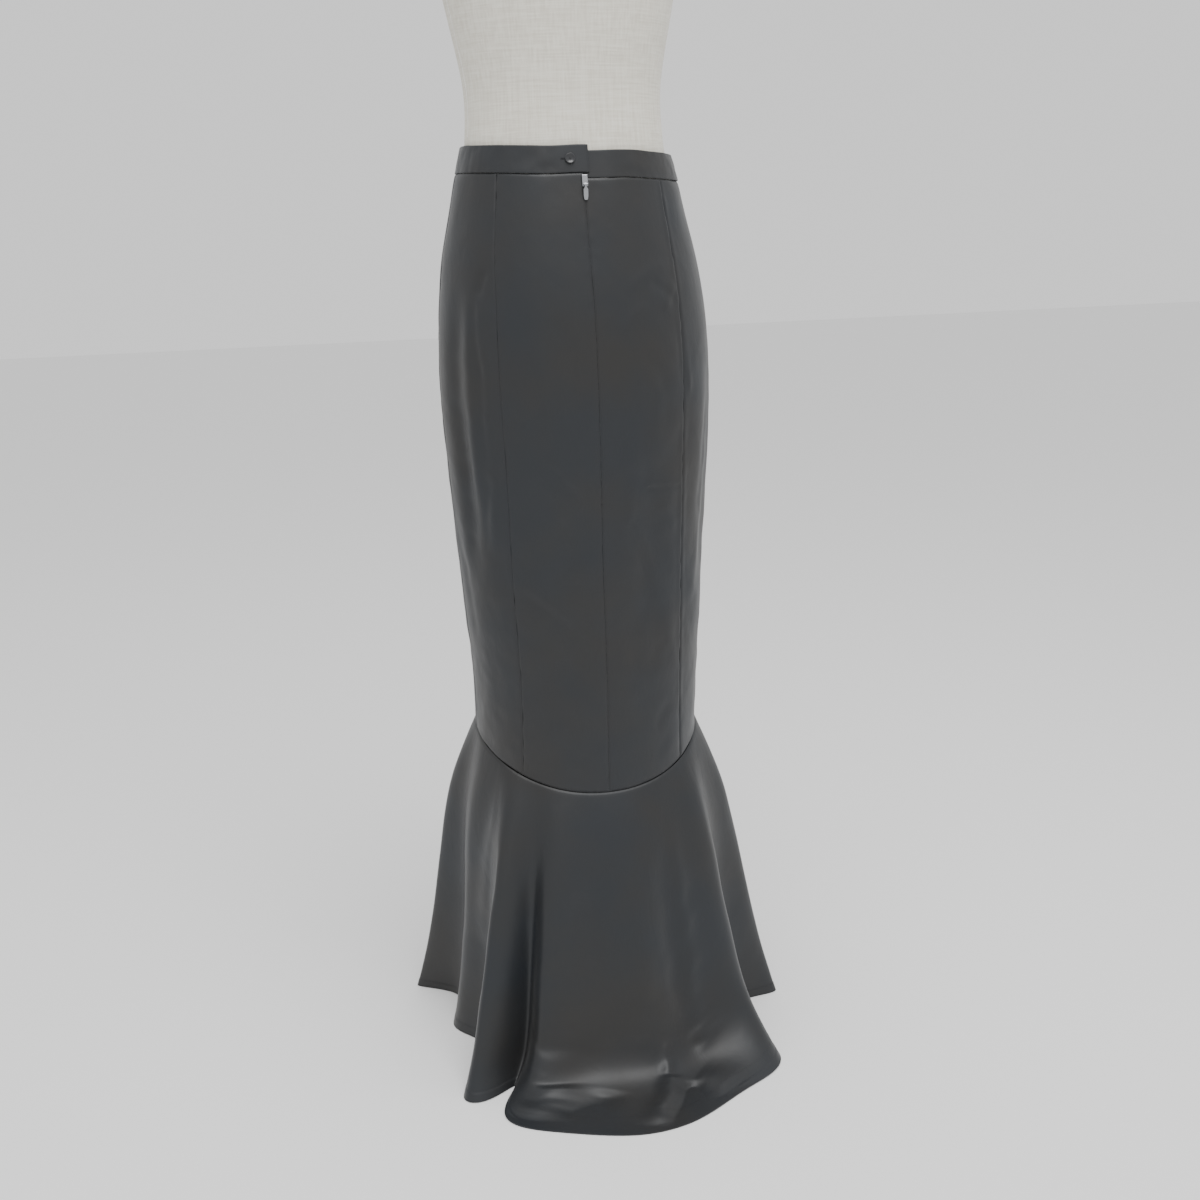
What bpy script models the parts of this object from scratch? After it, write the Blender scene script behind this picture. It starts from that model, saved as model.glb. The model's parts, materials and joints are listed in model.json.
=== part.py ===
"""A black satin mermaid skirt with a fishtail flounce, worn by a linen dress form on a stand.

Metres, +Z up. The skirt's front faces -Y, its back +Y, and the wearer's left is +X. Everything is laid out
round the form's pole, and moved at the end so that the origin is on the floor under the object's middle. Angles go round the body from the centre back, 0, to the wearer's left
side, 90, and the centre front, 180.
"""

import math
from collections import namedtuple

import bmesh
import bpy
import numpy as np
from mathutils import Matrix, Vector

# Cloth
CLOTH = 0.0015  # the satin's wall
SEAM_GAP = 0.0003  # between pieces that are sewn together
FLOOR_GAP = 0.0005  # under the hem, so that the stand's foot carries the weight

# Waist
WAIST_TOP = 1.049  # the band's upper edge above the floor
WAIST_TILT = 0.0075  # the band sits this much higher at the left side and lower at the right
BAND_HEIGHT = 0.029
BAND_WALL = 0.0020
BAND_PROUD = 0.0006  # the folded band stands this far out of the panels
BAND_END_DEG = -2.5  # where the overlap ends, just past the centre back
BAND_UNDERLAP_DEG = 13.0  # how far the other end runs under it
BAND_STEP = 0.0030  # the overlap's end sits this much higher, the underlap's lower
BAND_STEP_DEG = 24.0

# Seam between the upper skirt and the flounce: a slanting cut, lowest at the centre back
FLOUNCE_SEAM_Z = 0.394
FLOUNCE_SEAM_DIP = 0.072

# Panel seams of the upper skirt, in degrees round the body
SIDE_DEG = 90.0
FRONT_PRINCESS_DEG = 137.0
PANEL_LEVELS = 15
PrincessPoint = namedtuple("PrincessPoint", "z deg")
BACK_PRINCESS = (
    PrincessPoint(1.030, 45.5),
    PrincessPoint(0.930, 42.5),
    PrincessPoint(0.800, 40.5),
    PrincessPoint(0.700, 40.5),
    PrincessPoint(0.580, 42.0),
    PrincessPoint(0.450, 43.0),
    PrincessPoint(0.330, 44.5),
)
SECTION_POWER = 0.95  # of a level section: 1 is an ellipse, less is boxier

# Level sections of the upper skirt's outer face: it hangs a little to the right of the form's middle
Ring = namedtuple("Ring", "z half_width back front middle_x")
SKIRT_RINGS = (
    Ring(1.060, 0.1165, 0.0895, 0.0890, 0.0),
    Ring(1.020, 0.1270, 0.0965, 0.0960, 0.0),
    Ring(0.985, 0.1345, 0.1030, 0.1000, 0.0),
    Ring(0.940, 0.1450, 0.1100, 0.1040, -0.0005),
    Ring(0.895, 0.1525, 0.1160, 0.1070, -0.0020),
    Ring(0.850, 0.1572, 0.1190, 0.1090, -0.0028),
    Ring(0.790, 0.1597, 0.1185, 0.1105, -0.0037),
    Ring(0.730, 0.1576, 0.1165, 0.1110, -0.0042),
    Ring(0.660, 0.1530, 0.1160, 0.1115, -0.0038),
    Ring(0.590, 0.1478, 0.1165, 0.1120, -0.0030),
    Ring(0.510, 0.1423, 0.1185, 0.1130, -0.0030),
    Ring(0.440, 0.1375, 0.1205, 0.1140, -0.0026),
    Ring(0.380, 0.1360, 0.1225, 0.1150, -0.0012),
    Ring(0.300, 0.1355, 0.1240, 0.1160, 0.0),
)

# Largest soft folds of the upper skirt: where each starts and ends, how deep and how wide it is
Drape = namedtuple("Drape", "top_deg top_z foot_deg foot_z depth width_deg")
SKIRT_DRAPES = (
    Drape(66, 0.930, 66, 0.560, -0.0050, 7.0),
    Drape(56, 0.930, 57, 0.640, 0.0030, 6.0),
    Drape(20, 0.720, 12, 0.420, -0.0030, 9.0),
    Drape(-24, 0.740, -18, 0.450, -0.0030, 9.0),
    Drape(-68, 0.860, -66, 0.520, -0.0035, 8.0),
    Drape(112, 0.860, 110, 0.480, -0.0040, 9.0),
    Drape(150, 0.800, 156, 0.460, -0.0030, 9.0),
    Drape(-152, 0.820, -148, 0.480, -0.0035, 9.0),
    Drape(-114, 0.880, -116, 0.520, -0.0040, 8.0),
)

# Fold lines of the flounce, round the body from the centre back. Each leaves the seam at seam_deg, bends over
# its knee and ends at the hem: ridges are the long radii, valleys the short ones. Under the seam it springs out.
Fold = namedtuple("Fold", "seam_deg knee_deg knee_r knee_z hem_deg hem_r spring")
FLOUNCE_FOLDS = (
    Fold(0, 2, 0.222, 0.006, 4, 0.327, 0.010),
    Fold(14, 18, 0.226, 0.008, 20, 0.316, 0.010),
    Fold(25, 30, 0.240, 0.014, 33, 0.296, 0.010),
    Fold(35, 36, 0.205, 0.030, 36, 0.238, 0.010),
    Fold(44, 41, 0.258, 0.030, 40, 0.279, 0.012),
    Fold(50, 45, 0.266, 0.035, 45, 0.283, 0.012),
    Fold(62, 57, 0.180, 0.040, 57, 0.190, 0.012),
    Fold(74, 78, 0.184, 0.040, 79, 0.192, 0.014),
    Fold(86, 98, 0.170, 0.040, 102, 0.176, 0.018),
    Fold(98, 109, 0.224, 0.035, 110, 0.235, 0.022),
    Fold(113, 126, 0.176, 0.040, 127, 0.182, 0.020),
    Fold(128, 140, 0.220, 0.035, 141, 0.230, 0.014),
    Fold(144, 153, 0.180, 0.040, 154, 0.186, 0.010),
    Fold(160, 167, 0.217, 0.035, 168, 0.225, 0.010),
    Fold(178, 181, 0.182, 0.040, 181, 0.188, 0.010),
    Fold(196, 196, 0.220, 0.035, 196, 0.229, 0.010),
    Fold(212, 209, 0.180, 0.040, 209, 0.187, 0.010),
    Fold(227, 223, 0.221, 0.035, 222, 0.230, 0.010),
    Fold(243, 240, 0.176, 0.040, 240, 0.182, 0.010),
    Fold(259, 258, 0.215, 0.035, 258, 0.224, 0.012),
    Fold(270, 271, 0.178, 0.040, 271, 0.183, 0.014),
    Fold(280, 283, 0.222, 0.035, 285, 0.232, 0.016),
    Fold(299, 302, 0.178, 0.040, 302, 0.184, 0.014),
    Fold(313, 317, 0.224, 0.055, 320, 0.276, 0.012),
    Fold(326, 334, 0.216, 0.020, 335, 0.296, 0.010),
    Fold(343, 349, 0.220, 0.008, 350, 0.316, 0.010),
)
FLOUNCE_SEAM_LEFT = 86.0  # the flounce's side seams run down these folds
FLOUNCE_SEAM_RIGHT = 270.0

# Zip in the centre back seam
ZIP_TOP_Z = 1.0140
ZIP_END_Z = 0.760
ZIP_TAPE_WIDTH = 0.022
ZIP_TAPE_WALL = 0.0009
SLIDER_WIDTH = 0.0062
SLIDER_LENGTH = 0.0125
SLIDER_DEPTH = 0.0020
LUG_WIDTH = 0.0011
LUG_SPREAD = 0.0037  # between the middles of the two lugs
LUG_RADIUS = 0.0012
PIN_RADIUS = 0.0005
PIN_Z = 1.0095  # above the floor
PIN_STAND_OFF = 0.0041  # out of the cloth
PULL_LENGTH = 0.0165
PULL_WIDTH = 0.0050
PULL_TIP_WIDTH = 0.0038
PULL_NECK = 0.0020  # the tab's width between the lugs
PULL_WALL = 0.0010
PULL_EYE = 0.0008  # radius of the tab's hole
PULL_BARREL = 0.0014  # radius of the rolled end round that hole

# Button on the band's overlap
BUTTON_DEG = 6.0
BUTTON_RADIUS = 0.0056
BUTTON_THICKNESS = 0.0024
BUTTON_DISH = 0.0007

# Dress form: level sections of the torso, with the body's middle moved forwards or back
FormRing = namedtuple("FormRing", "z half_width back front middle_y")
FORM_RINGS = (
    FormRing(0.662, 0.1360, 0.1050, 0.0990, 0.000),
    FormRing(0.720, 0.1430, 0.1075, 0.1010, 0.000),
    FormRing(0.790, 0.1470, 0.1100, 0.1015, 0.000),
    FormRing(0.850, 0.1460, 0.1110, 0.1005, 0.000),
    FormRing(0.920, 0.1400, 0.1055, 0.0975, 0.000),
    FormRing(0.985, 0.1280, 0.0960, 0.0930, 0.000),
    FormRing(1.035, 0.1160, 0.0870, 0.0870, 0.000),
    FormRing(1.070, 0.1120, 0.0830, 0.0840, 0.000),
    FormRing(1.110, 0.1110, 0.0815, 0.0830, 0.000),
    FormRing(1.160, 0.1185, 0.0850, 0.0860, 0.000),
    FormRing(1.210, 0.1285, 0.0900, 0.0930, 0.000),
    FormRing(1.260, 0.1370, 0.0960, 0.0980, 0.000),
    FormRing(1.310, 0.1430, 0.1000, 0.0970, 0.003),
    FormRing(1.360, 0.1510, 0.0980, 0.0900, 0.006),
    FormRing(1.400, 0.1610, 0.0900, 0.0780, 0.008),
    FormRing(1.430, 0.1640, 0.0790, 0.0660, 0.010),
    FormRing(1.450, 0.1500, 0.0700, 0.0570, 0.010),
    FormRing(1.468, 0.1150, 0.0620, 0.0510, 0.009),
    FormRing(1.482, 0.0820, 0.0560, 0.0480, 0.006),
    FormRing(1.500, 0.0620, 0.0520, 0.0470, 0.002),
    FormRing(1.530, 0.0560, 0.0500, 0.0470, -0.003),
)
BUST_HEIGHT = 0.030
BUST_SPREAD = 0.068  # from the middle to each point
BUST_Z = 1.283
BUST_WIDTH = 0.040
BUST_TALL = 0.052
NECK_CAP_WALL = 0.012
POLE_RADIUS = 0.0140
FOOT_RADIUS = 0.1420
FOOT_WALL = 0.0120
FOOT_HUB_RADIUS = 0.0260
FOOT_HUB_TOP = 0.0600

SATIN = ("satin", (0.020, 0.022, 0.026), 0.42, 0.0)
TAPE = ("zip_tape", (0.016, 0.016, 0.018), 0.80, 0.0)
ZIP_METAL = ("zip_metal", (0.30, 0.31, 0.33), 0.30, 1.0)
BUTTON_RESIN = ("button_resin", (0.018, 0.019, 0.022), 0.30, 0.0)
LINEN = ("linen", (0.66, 0.63, 0.55), 0.85, 0.0)
FORM_METAL = ("stand_metal", (0.045, 0.045, 0.048), 0.45, 1.0)
CAP_WOOD = ("cap_wood", (0.30, 0.17, 0.08), 0.50, 0.0)


def smooth(keys, values):
    """A natural cubic spline through the values, as a function of the key."""
    keys = np.asarray(keys, float)
    values = np.asarray(values, float)
    count = len(keys)
    step = np.diff(keys)
    matrix = np.eye(count)
    right = np.zeros_like(values)
    for i in range(1, count - 1):
        matrix[i, i - 1 : i + 2] = step[i - 1], 2 * (step[i - 1] + step[i]), step[i]
        rise = (values[i + 1] - values[i]) / step[i] - (values[i] - values[i - 1]) / step[i - 1]
        right[i] = 6 * rise
    bend = np.linalg.solve(matrix, right)

    def at(key):
        key = np.clip(np.asarray(key, float), keys[0], keys[-1])
        i = np.clip(np.searchsorted(keys, key) - 1, 0, count - 2)
        wide = step[i]
        before = (keys[i + 1] - key) / wide
        after = 1 - before
        if values.ndim > 1:
            wide, before, after = wide[..., None], before[..., None], after[..., None]
        straight = before * values[i] + after * values[i + 1]
        curve = (before**3 - before) * bend[i] + (after**3 - after) * bend[i + 1]
        return straight + curve * wide**2 / 6

    return at


def around(keys, values, turn=360.0, wrapped=4):
    """The same for values that come round again after one turn."""
    keys = np.asarray(keys, float)
    values = np.asarray(values, float)
    long_keys = np.concatenate([keys[-wrapped:] - turn, keys, keys[:wrapped] + turn])
    long_values = np.concatenate([values[-wrapped:], values, values[:wrapped]])
    curve = smooth(long_keys, long_values)
    return lambda key: curve(np.mod(key, turn))


def ring_function(rings):
    """Sizes of a stack of level sections, as a function of height."""
    ordered = sorted(rings, key=lambda ring: ring.z)
    return smooth([ring.z for ring in ordered], [tuple(ring)[1:] for ring in ordered])


def section(degrees, half_width, back, front):
    """Points of a level section, round the body from the centre back."""
    angle = np.radians(degrees)
    across, along = np.sin(angle), np.cos(angle)
    depth = np.where(along > 0, back, front)
    x = half_width * np.sign(across) * np.abs(across) ** SECTION_POWER
    y = depth * np.sign(along) * np.abs(along) ** SECTION_POWER
    return x, y


SKIRT_SIZES = ring_function(SKIRT_RINGS)
PRINCESS = smooth([p.z for p in reversed(BACK_PRINCESS)], [p.deg for p in reversed(BACK_PRINCESS)])


def soft_step(low, high, value):
    """0 below the low value, 1 above the high one, with a soft change between."""
    share = np.clip((value - low) / (high - low), 0, 1)
    return share * share * (3 - 2 * share)


def turned(degrees):
    """An angle brought between -180 and 180."""
    return (np.asarray(degrees) + 180) % 360 - 180


def drape_depth(degrees, z):
    """How far the large soft folds move the upper skirt in or out."""
    total = np.zeros(np.broadcast(degrees, z).shape)
    for fold in SKIRT_DRAPES:
        share = (fold.top_z - z) / (fold.top_z - fold.foot_z)
        middle = fold.top_deg + (fold.foot_deg - fold.top_deg) * share
        reach = soft_step(0, 0.35, share) * (1 - soft_step(0.70, 1, share))
        total = total + fold.depth * reach * np.exp(-((turned(degrees - middle) / fold.width_deg) ** 2))
    return total


def skirt_surface(degrees, z, out=0.0):
    """A point on the upper skirt's outer face, moved out by the amount given."""
    degrees, z = np.broadcast_arrays(np.asarray(degrees, float), np.asarray(z, float))
    half_width, back, front, middle_x = np.moveaxis(SKIRT_SIZES(z), -1, 0)
    move = drape_depth(degrees, z) + out
    x, y = section(degrees, half_width + move, back + move, front + move)
    return np.stack([x + middle_x, y, z], -1)


def band_top(degrees):
    """Height of the band's upper edge, along its whole length from the overlap's end."""
    tilt = WAIST_TILT * np.sin(np.radians(degrees))
    overlap = 1 - soft_step(BAND_END_DEG, BAND_END_DEG + BAND_STEP_DEG, degrees)
    underlap = soft_step(360 - BAND_STEP_DEG, 360, degrees)
    return WAIST_TOP + tilt + BAND_STEP * (overlap - underlap)


def panel_top(degrees):
    """Height of the upper skirt's top edge, under the band."""
    return band_top(np.mod(degrees, 360)) - BAND_HEIGHT


def flounce_seam(degrees):
    """Height of the seam between the upper skirt and the flounce."""
    return FLOUNCE_SEAM_Z - FLOUNCE_SEAM_DIP * (1 + np.cos(np.radians(degrees))) ** 2 / 4


def polar(degrees, radius, z):
    """A point given by its angle round the body, its distance from the middle and its height."""
    angle = math.radians(degrees)
    return radius * math.sin(angle), radius * math.cos(angle), z


SEAM_DEGREES = [fold.seam_deg for fold in FLOUNCE_FOLDS]
KNEES = around(SEAM_DEGREES, [polar(f.knee_deg, f.knee_r, f.knee_z) for f in FLOUNCE_FOLDS])
HEMS = around(SEAM_DEGREES, [polar(f.hem_deg, f.hem_r, FLOOR_GAP) for f in FLOUNCE_FOLDS])
SPRINGS = around(SEAM_DEGREES, [fold.spring for fold in FLOUNCE_FOLDS])


def spline_share(count, share, degree=3):
    """Weights of the points of an open B-spline at each share of its length."""
    inner = np.linspace(0, 1, count - degree + 1)
    knots = np.concatenate([np.zeros(degree), inner, np.ones(degree)])
    share = np.clip(share, 0, 1 - 1e-9)
    weights = [((knots[i] <= share) & (share < knots[i + 1])) * 1.0 for i in range(len(knots) - 1)]
    for order in range(1, degree + 1):
        raised = []
        for i in range(len(weights) - 1):
            left = knots[i + order] - knots[i]
            right = knots[i + order + 1] - knots[i + 1]
            value = (share - knots[i]) / left * weights[i] if left else 0 * share
            if right:
                value = value + (knots[i + order + 1] - share) / right * weights[i + 1]
            raised.append(value)
        weights = raised
    return weights


def flounce_surface(degrees, share):
    """A point on the flounce's outer face: share is 0 at its seam and 1 at its hem."""
    degrees, share = np.broadcast_arrays(np.asarray(degrees, float), np.asarray(share, float))
    seam = skirt_surface(degrees, flounce_seam(degrees) - SEAM_GAP / 2)
    knee, hem = KNEES(degrees), HEMS(degrees)
    outward = (knee - seam) * (1, 1, 0)
    outward = outward / np.linalg.norm(outward, axis=-1, keepdims=True) * SPRINGS(degrees)[..., None]
    points = (
        seam,
        seam + (knee - seam) * 0.20 + outward,
        seam + (knee - seam) * 0.50 + outward * 0.5,
        seam + (knee - seam) * 0.84,
        knee + (hem - knee) * 0.10,
        knee + (hem - knee) * 0.55,
        hem,
    )
    weights = spline_share(len(points), share)
    return sum(weight[..., None] * point for weight, point in zip(weights, points))


def material(name, colour, roughness, metallic):
    """The named material, made the first time it is asked for."""
    made = bpy.data.materials.get(name)
    if made is None:
        made = bpy.data.materials.new(name)
        made.use_nodes = True
        shader = made.node_tree.nodes["Principled BSDF"]
        shader.inputs["Base Color"].default_value = (*colour, 1)
        shader.inputs["Roughness"].default_value = roughness
        shader.inputs["Metallic"].default_value = metallic
    return made


def add_object(name, bm, finish, at=(0, 0, 0)):
    """Makes a named object of the bmesh, with outward normals and smooth shading."""
    bmesh.ops.recalc_face_normals(bm, faces=bm.faces[:])
    mesh = bpy.data.meshes.new(name)
    bm.to_mesh(mesh)
    bm.free()
    mesh.shade_smooth()
    mesh.set_sharp_from_angle(angle=math.radians(35))
    mesh.materials.append(material(*finish))
    obj = bpy.data.objects.new(name, mesh)
    obj.location = at
    bpy.context.scene.collection.objects.link(obj)
    return obj


def add_wall(name, surface, first, second, thickness, finish, rest_on_floor=False):
    """A cloth wall: its outer face is surface(first, second), its inner face lies inside by the thickness."""
    tiny = 1e-4
    outer = surface(first, second)
    along_first = surface(first + tiny, second) - surface(first - tiny, second)
    along_second = surface(first, second + tiny) - surface(first, second - tiny)
    normals = np.cross(along_first, along_second)
    normals /= np.linalg.norm(normals, axis=-1, keepdims=True)
    if (outer * normals)[..., :2].sum() < 0:
        normals = -normals
    inner = outer - normals * thickness
    if rest_on_floor:
        lift = np.clip(FLOOR_GAP - np.minimum(outer[..., 2], inner[..., 2]), 0, None)[..., None] * (0, 0, 1)
        outer, inner = outer + lift, inner + lift
    bm = bmesh.new()
    rows, columns = outer.shape[:2]
    front, back = ([[bm.verts.new(p) for p in row] for row in sheet] for sheet in (outer, inner))
    for i in range(rows - 1):
        for j in range(columns - 1):
            bm.faces.new((front[i][j], front[i][j + 1], front[i + 1][j + 1], front[i + 1][j]))
            bm.faces.new((back[i][j], back[i + 1][j], back[i + 1][j + 1], back[i][j + 1]))
    rim = [(0, j) for j in range(columns)] + [(i, columns - 1) for i in range(1, rows)]
    rim += [(rows - 1, j) for j in range(columns - 2, -1, -1)] + [(i, 0) for i in range(rows - 2, 0, -1)]
    for (i, j), (k, m) in zip(rim, rim[1:] + rim[:1]):
        bm.faces.new((front[k][m], front[i][j], back[i][j], back[k][m]))
    return add_object(name, bm, finish)


def half_gap_deg():
    """Half a seam's gap, as an angle round the body."""
    return math.degrees(SEAM_GAP / 2 / SKIRT_RINGS[0].back)


def seam_degrees(nominal, z):
    """Where a panel seam runs at each height."""
    side = math.copysign(1, nominal)
    return side * PRINCESS(z) if abs(nominal) == BACK_PRINCESS[0].deg else nominal + 0 * z


def panel_heights(nominal):
    """The levels of a panel's points, from the band down to the flounce's seam."""
    top = panel_top(nominal) - SEAM_GAP
    foot = flounce_seam(nominal) + SEAM_GAP / 2
    return top + (foot - top) * np.linspace(0, 1, PANEL_LEVELS)[:, None]


def add_panel(name, start, end, columns):
    """One panel of the upper skirt, from the band to the flounce's seam."""
    nominal = np.linspace(start + half_gap_deg(), end - half_gap_deg(), columns)
    z = panel_heights(nominal)
    across = np.linspace(0, 1, columns)
    low = seam_degrees(start, z) + half_gap_deg()
    high = seam_degrees(end, z) - half_gap_deg()
    return add_wall(name, skirt_surface, low + (high - low) * across, z, CLOTH, SATIN)


def add_flounce(name, start, end, columns, levels=11):
    """One flounce piece, from the seam to the hem."""
    angles = np.linspace(start + half_gap_deg(), end - half_gap_deg(), columns)
    share = np.linspace(0, 1, levels)[:, None]
    angles, share = np.broadcast_arrays(angles, share)
    return add_wall(name, flounce_surface, angles, share, CLOTH, SATIN, rest_on_floor=True)


def add_waistband():
    """The band goes once round, and its underlap runs on inside its own overlap."""
    angles = np.linspace(BAND_END_DEG, 360 + BAND_UNDERLAP_DEG, 70)

    def surface(degrees, share):
        tuck = soft_step(360 + BAND_END_DEG - 12, 360 + BAND_END_DEG - 2, degrees)
        out = BAND_PROUD - tuck * (BAND_WALL + SEAM_GAP)
        z = band_top(degrees) - BAND_HEIGHT * share
        half_width, back, front, middle_x = np.moveaxis(SKIRT_SIZES(z), -1, 0)
        x, y = section(degrees, half_width + out, back + out, front + out)
        return np.stack([x + middle_x, y, z], -1)

    angles, share = np.broadcast_arrays(angles, np.linspace(0, 1, 3)[:, None])
    return add_wall("waistband", surface, angles, share, BAND_WALL, SATIN)


def cloth_frame(degrees, z, out):
    """A place on the cloth, and its turn: x round the body, y outwards, z up the cloth."""
    here = Vector(skirt_surface(degrees, z, out))
    beside = [Vector(skirt_surface(degrees + turn, z, out)) for turn in (-0.2, 0.2)]
    across = ((beside[1] - beside[0]) * Vector((1, 1, 0))).normalized()
    above = Vector(skirt_surface(degrees, z + 0.001, out)) - here
    outward = above.cross(across).normalized()
    if outward.dot(Vector((here.x, here.y, 0))) < 0:
        outward = -outward
    up = across.cross(outward)
    return here, Matrix((across, outward, up)).transposed().to_4x4()


def add_zip_tape():
    """The zip's tape, behind the centre back seam."""
    z = panel_heights(np.zeros(1))
    z = z[z > ZIP_END_Z][:, None]
    z[0] = ZIP_TOP_Z
    reach = np.degrees(ZIP_TAPE_WIDTH / 2 / SKIRT_SIZES(z)[..., 1])
    degrees = reach * np.linspace(-1, 1, 5)

    def surface(first, second):
        return skirt_surface(first, second, -CLOTH - 2 * SEAM_GAP)

    return add_wall("zip_tape", surface, degrees, z + 0 * degrees, ZIP_TAPE_WALL, TAPE)


def box(bm, size, at):
    """Adds a box to the bmesh."""
    made = bmesh.ops.create_cube(bm, size=1)
    bmesh.ops.scale(bm, vec=size, verts=made["verts"])
    bmesh.ops.translate(bm, vec=at, verts=made["verts"])


def rod(bm, radius, length, at=(0, 0, 0), sides=16):
    """Adds a rod that lies across, along x."""
    turn = Matrix.Rotation(math.pi / 2, 4, "Y")
    place = Matrix.Translation(at) @ turn
    bmesh.ops.create_cone(
        bm, cap_ends=True, segments=sides, radius1=radius, radius2=radius, depth=length, matrix=place
    )


def prism(bm, outline, start, end):
    """Adds a prism that lies across, along x: the outline is (y, z)."""
    ends = [[bm.verts.new((x, y, z)) for y, z in outline] for x in (start, end)]
    bm.faces.new(ends[0])
    bm.faces.new(list(reversed(ends[1])))
    for i in range(len(outline)):
        k = (i + 1) % len(outline)
        bm.faces.new((ends[0][k], ends[0][i], ends[1][i], ends[1][k]))
    bmesh.ops.recalc_face_normals(bm, faces=bm.faces[:])


def tool(name, bm, turn, at):
    """A solid used in cuts and unions only."""
    bmesh.ops.transform(bm, matrix=turn, verts=bm.verts[:])
    mesh = bpy.data.meshes.new(name)
    bm.to_mesh(mesh)
    bm.free()
    obj = bpy.data.objects.new(name, mesh)
    obj.location = at
    bpy.context.scene.collection.objects.link(obj)
    obj.hide_render = True
    obj.display_type = "WIRE"
    return obj


def combine(obj, other, operation):
    """Joins another solid to the object, or cuts it out."""
    modifier = obj.modifiers.new(other.name, "BOOLEAN")
    modifier.operation = operation
    modifier.object = other
    modifier.solver = "EXACT"


def add_zip_slider(pin, turn):
    """The slider's plate, with two lugs that hold the pull tab's pin."""
    front = SEAM_GAP + SLIDER_DEPTH - PIN_STAND_OFF
    middle = front - SLIDER_DEPTH / 2
    bm = bmesh.new()
    box(bm, (SLIDER_WIDTH, SLIDER_DEPTH, SLIDER_LENGTH), (0, middle, SLIDER_LENGTH / 2 - 0.0020))
    bmesh.ops.bevel(bm, geom=bm.edges[:], offset=0.0005, segments=2, profile=0.5, affect="EDGES")
    bmesh.ops.transform(bm, matrix=turn, verts=bm.verts[:])
    slider = add_object("zip_slider", bm, ZIP_METAL, pin)
    rounding = [math.pi * i / 8 for i in range(9)]
    outline = [(LUG_RADIUS * math.sin(a), LUG_RADIUS * math.cos(a)) for a in rounding]
    outline += [(front - 0.0008, -LUG_RADIUS), (front - 0.0008, LUG_RADIUS)]
    for side in (-1, 1):
        x = side * LUG_SPREAD / 2
        bm = bmesh.new()
        prism(bm, outline, x - LUG_WIDTH / 2, x + LUG_WIDTH / 2)
        combine(slider, tool(f"lug_{side}", bm, turn, pin), "UNION")
    bm = bmesh.new()
    rod(bm, PIN_RADIUS, LUG_SPREAD, sides=12)
    combine(slider, tool("pin", bm, turn, pin), "UNION")
    return slider


def add_zip_pull(pin):
    """The pull tab hangs plumb from the slider's pin by a rolled end."""
    outline = (
        (PULL_NECK / 2, -0.0004),
        (PULL_NECK / 2, -0.0030),
        (PULL_WIDTH / 2, -0.0052),
        (PULL_WIDTH / 2, -0.0120),
        (PULL_TIP_WIDTH / 2, -PULL_LENGTH + 0.0008),
        (PULL_TIP_WIDTH / 2 - 0.0008, -PULL_LENGTH),
    )
    loop = [(x, z) for x, z in outline] + [(-x, z) for x, z in reversed(outline)]
    bm = bmesh.new()
    sides = [[bm.verts.new((x, y, z)) for x, z in loop] for y in (-PULL_WALL / 2, PULL_WALL / 2)]
    bm.faces.new(sides[0])
    bm.faces.new(list(reversed(sides[1])))
    for i in range(len(loop)):
        k = (i + 1) % len(loop)
        bm.faces.new((sides[0][k], sides[0][i], sides[1][i], sides[1][k]))
    pull = add_object("zip_pull", bm, ZIP_METAL, pin)
    bm = bmesh.new()
    rod(bm, PULL_BARREL, PULL_NECK)
    combine(pull, tool("pull_barrel", bm, Matrix(), pin), "UNION")
    bm = bmesh.new()
    rod(bm, PULL_EYE, 2 * PULL_NECK)
    combine(pull, tool("pull_eye", bm, Matrix(), pin), "DIFFERENCE")
    return pull


def lathe(bm, profile, sides):
    """Adds a turned solid: the profile is (radius, height) from the middle below to the middle above."""
    rings = []
    for radius, height in profile:
        if radius == 0:
            rings.append([bm.verts.new((0, 0, height))])
            continue
        angles = (2 * math.pi * i / sides for i in range(sides))
        rings.append([bm.verts.new((radius * math.cos(a), radius * math.sin(a), height)) for a in angles])
    for lower, upper in zip(rings, rings[1:]):
        for i in range(sides):
            k = (i + 1) % sides
            corners = [lower[i % len(lower)], lower[k % len(lower)], upper[k % len(upper)], upper[i % len(upper)]]
            bm.faces.new(list(dict.fromkeys(corners)))


def add_button():
    """A dished button on the band's overlap."""
    z = float(band_top(BUTTON_DEG)) - BAND_HEIGHT / 2
    at, turn = cloth_frame(BUTTON_DEG, z, BAND_PROUD + SEAM_GAP)
    rim = BUTTON_RADIUS - 0.0012
    profile = (
        (0, 0),
        (BUTTON_RADIUS - 0.0010, 0),
        (BUTTON_RADIUS, 0.0009),
        (BUTTON_RADIUS, BUTTON_THICKNESS - 0.0005),
        (BUTTON_RADIUS - 0.0005, BUTTON_THICKNESS),
        (rim, BUTTON_THICKNESS),
        (rim - 0.0006, BUTTON_THICKNESS - BUTTON_DISH),
        (0, BUTTON_THICKNESS - BUTTON_DISH),
    )
    bm = bmesh.new()
    lathe(bm, profile, 20)
    bmesh.ops.transform(bm, matrix=turn @ Matrix.Rotation(-math.pi / 2, 4, "X"), verts=bm.verts[:])
    return add_object("waist_button", bm, BUTTON_RESIN, at)


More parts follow.
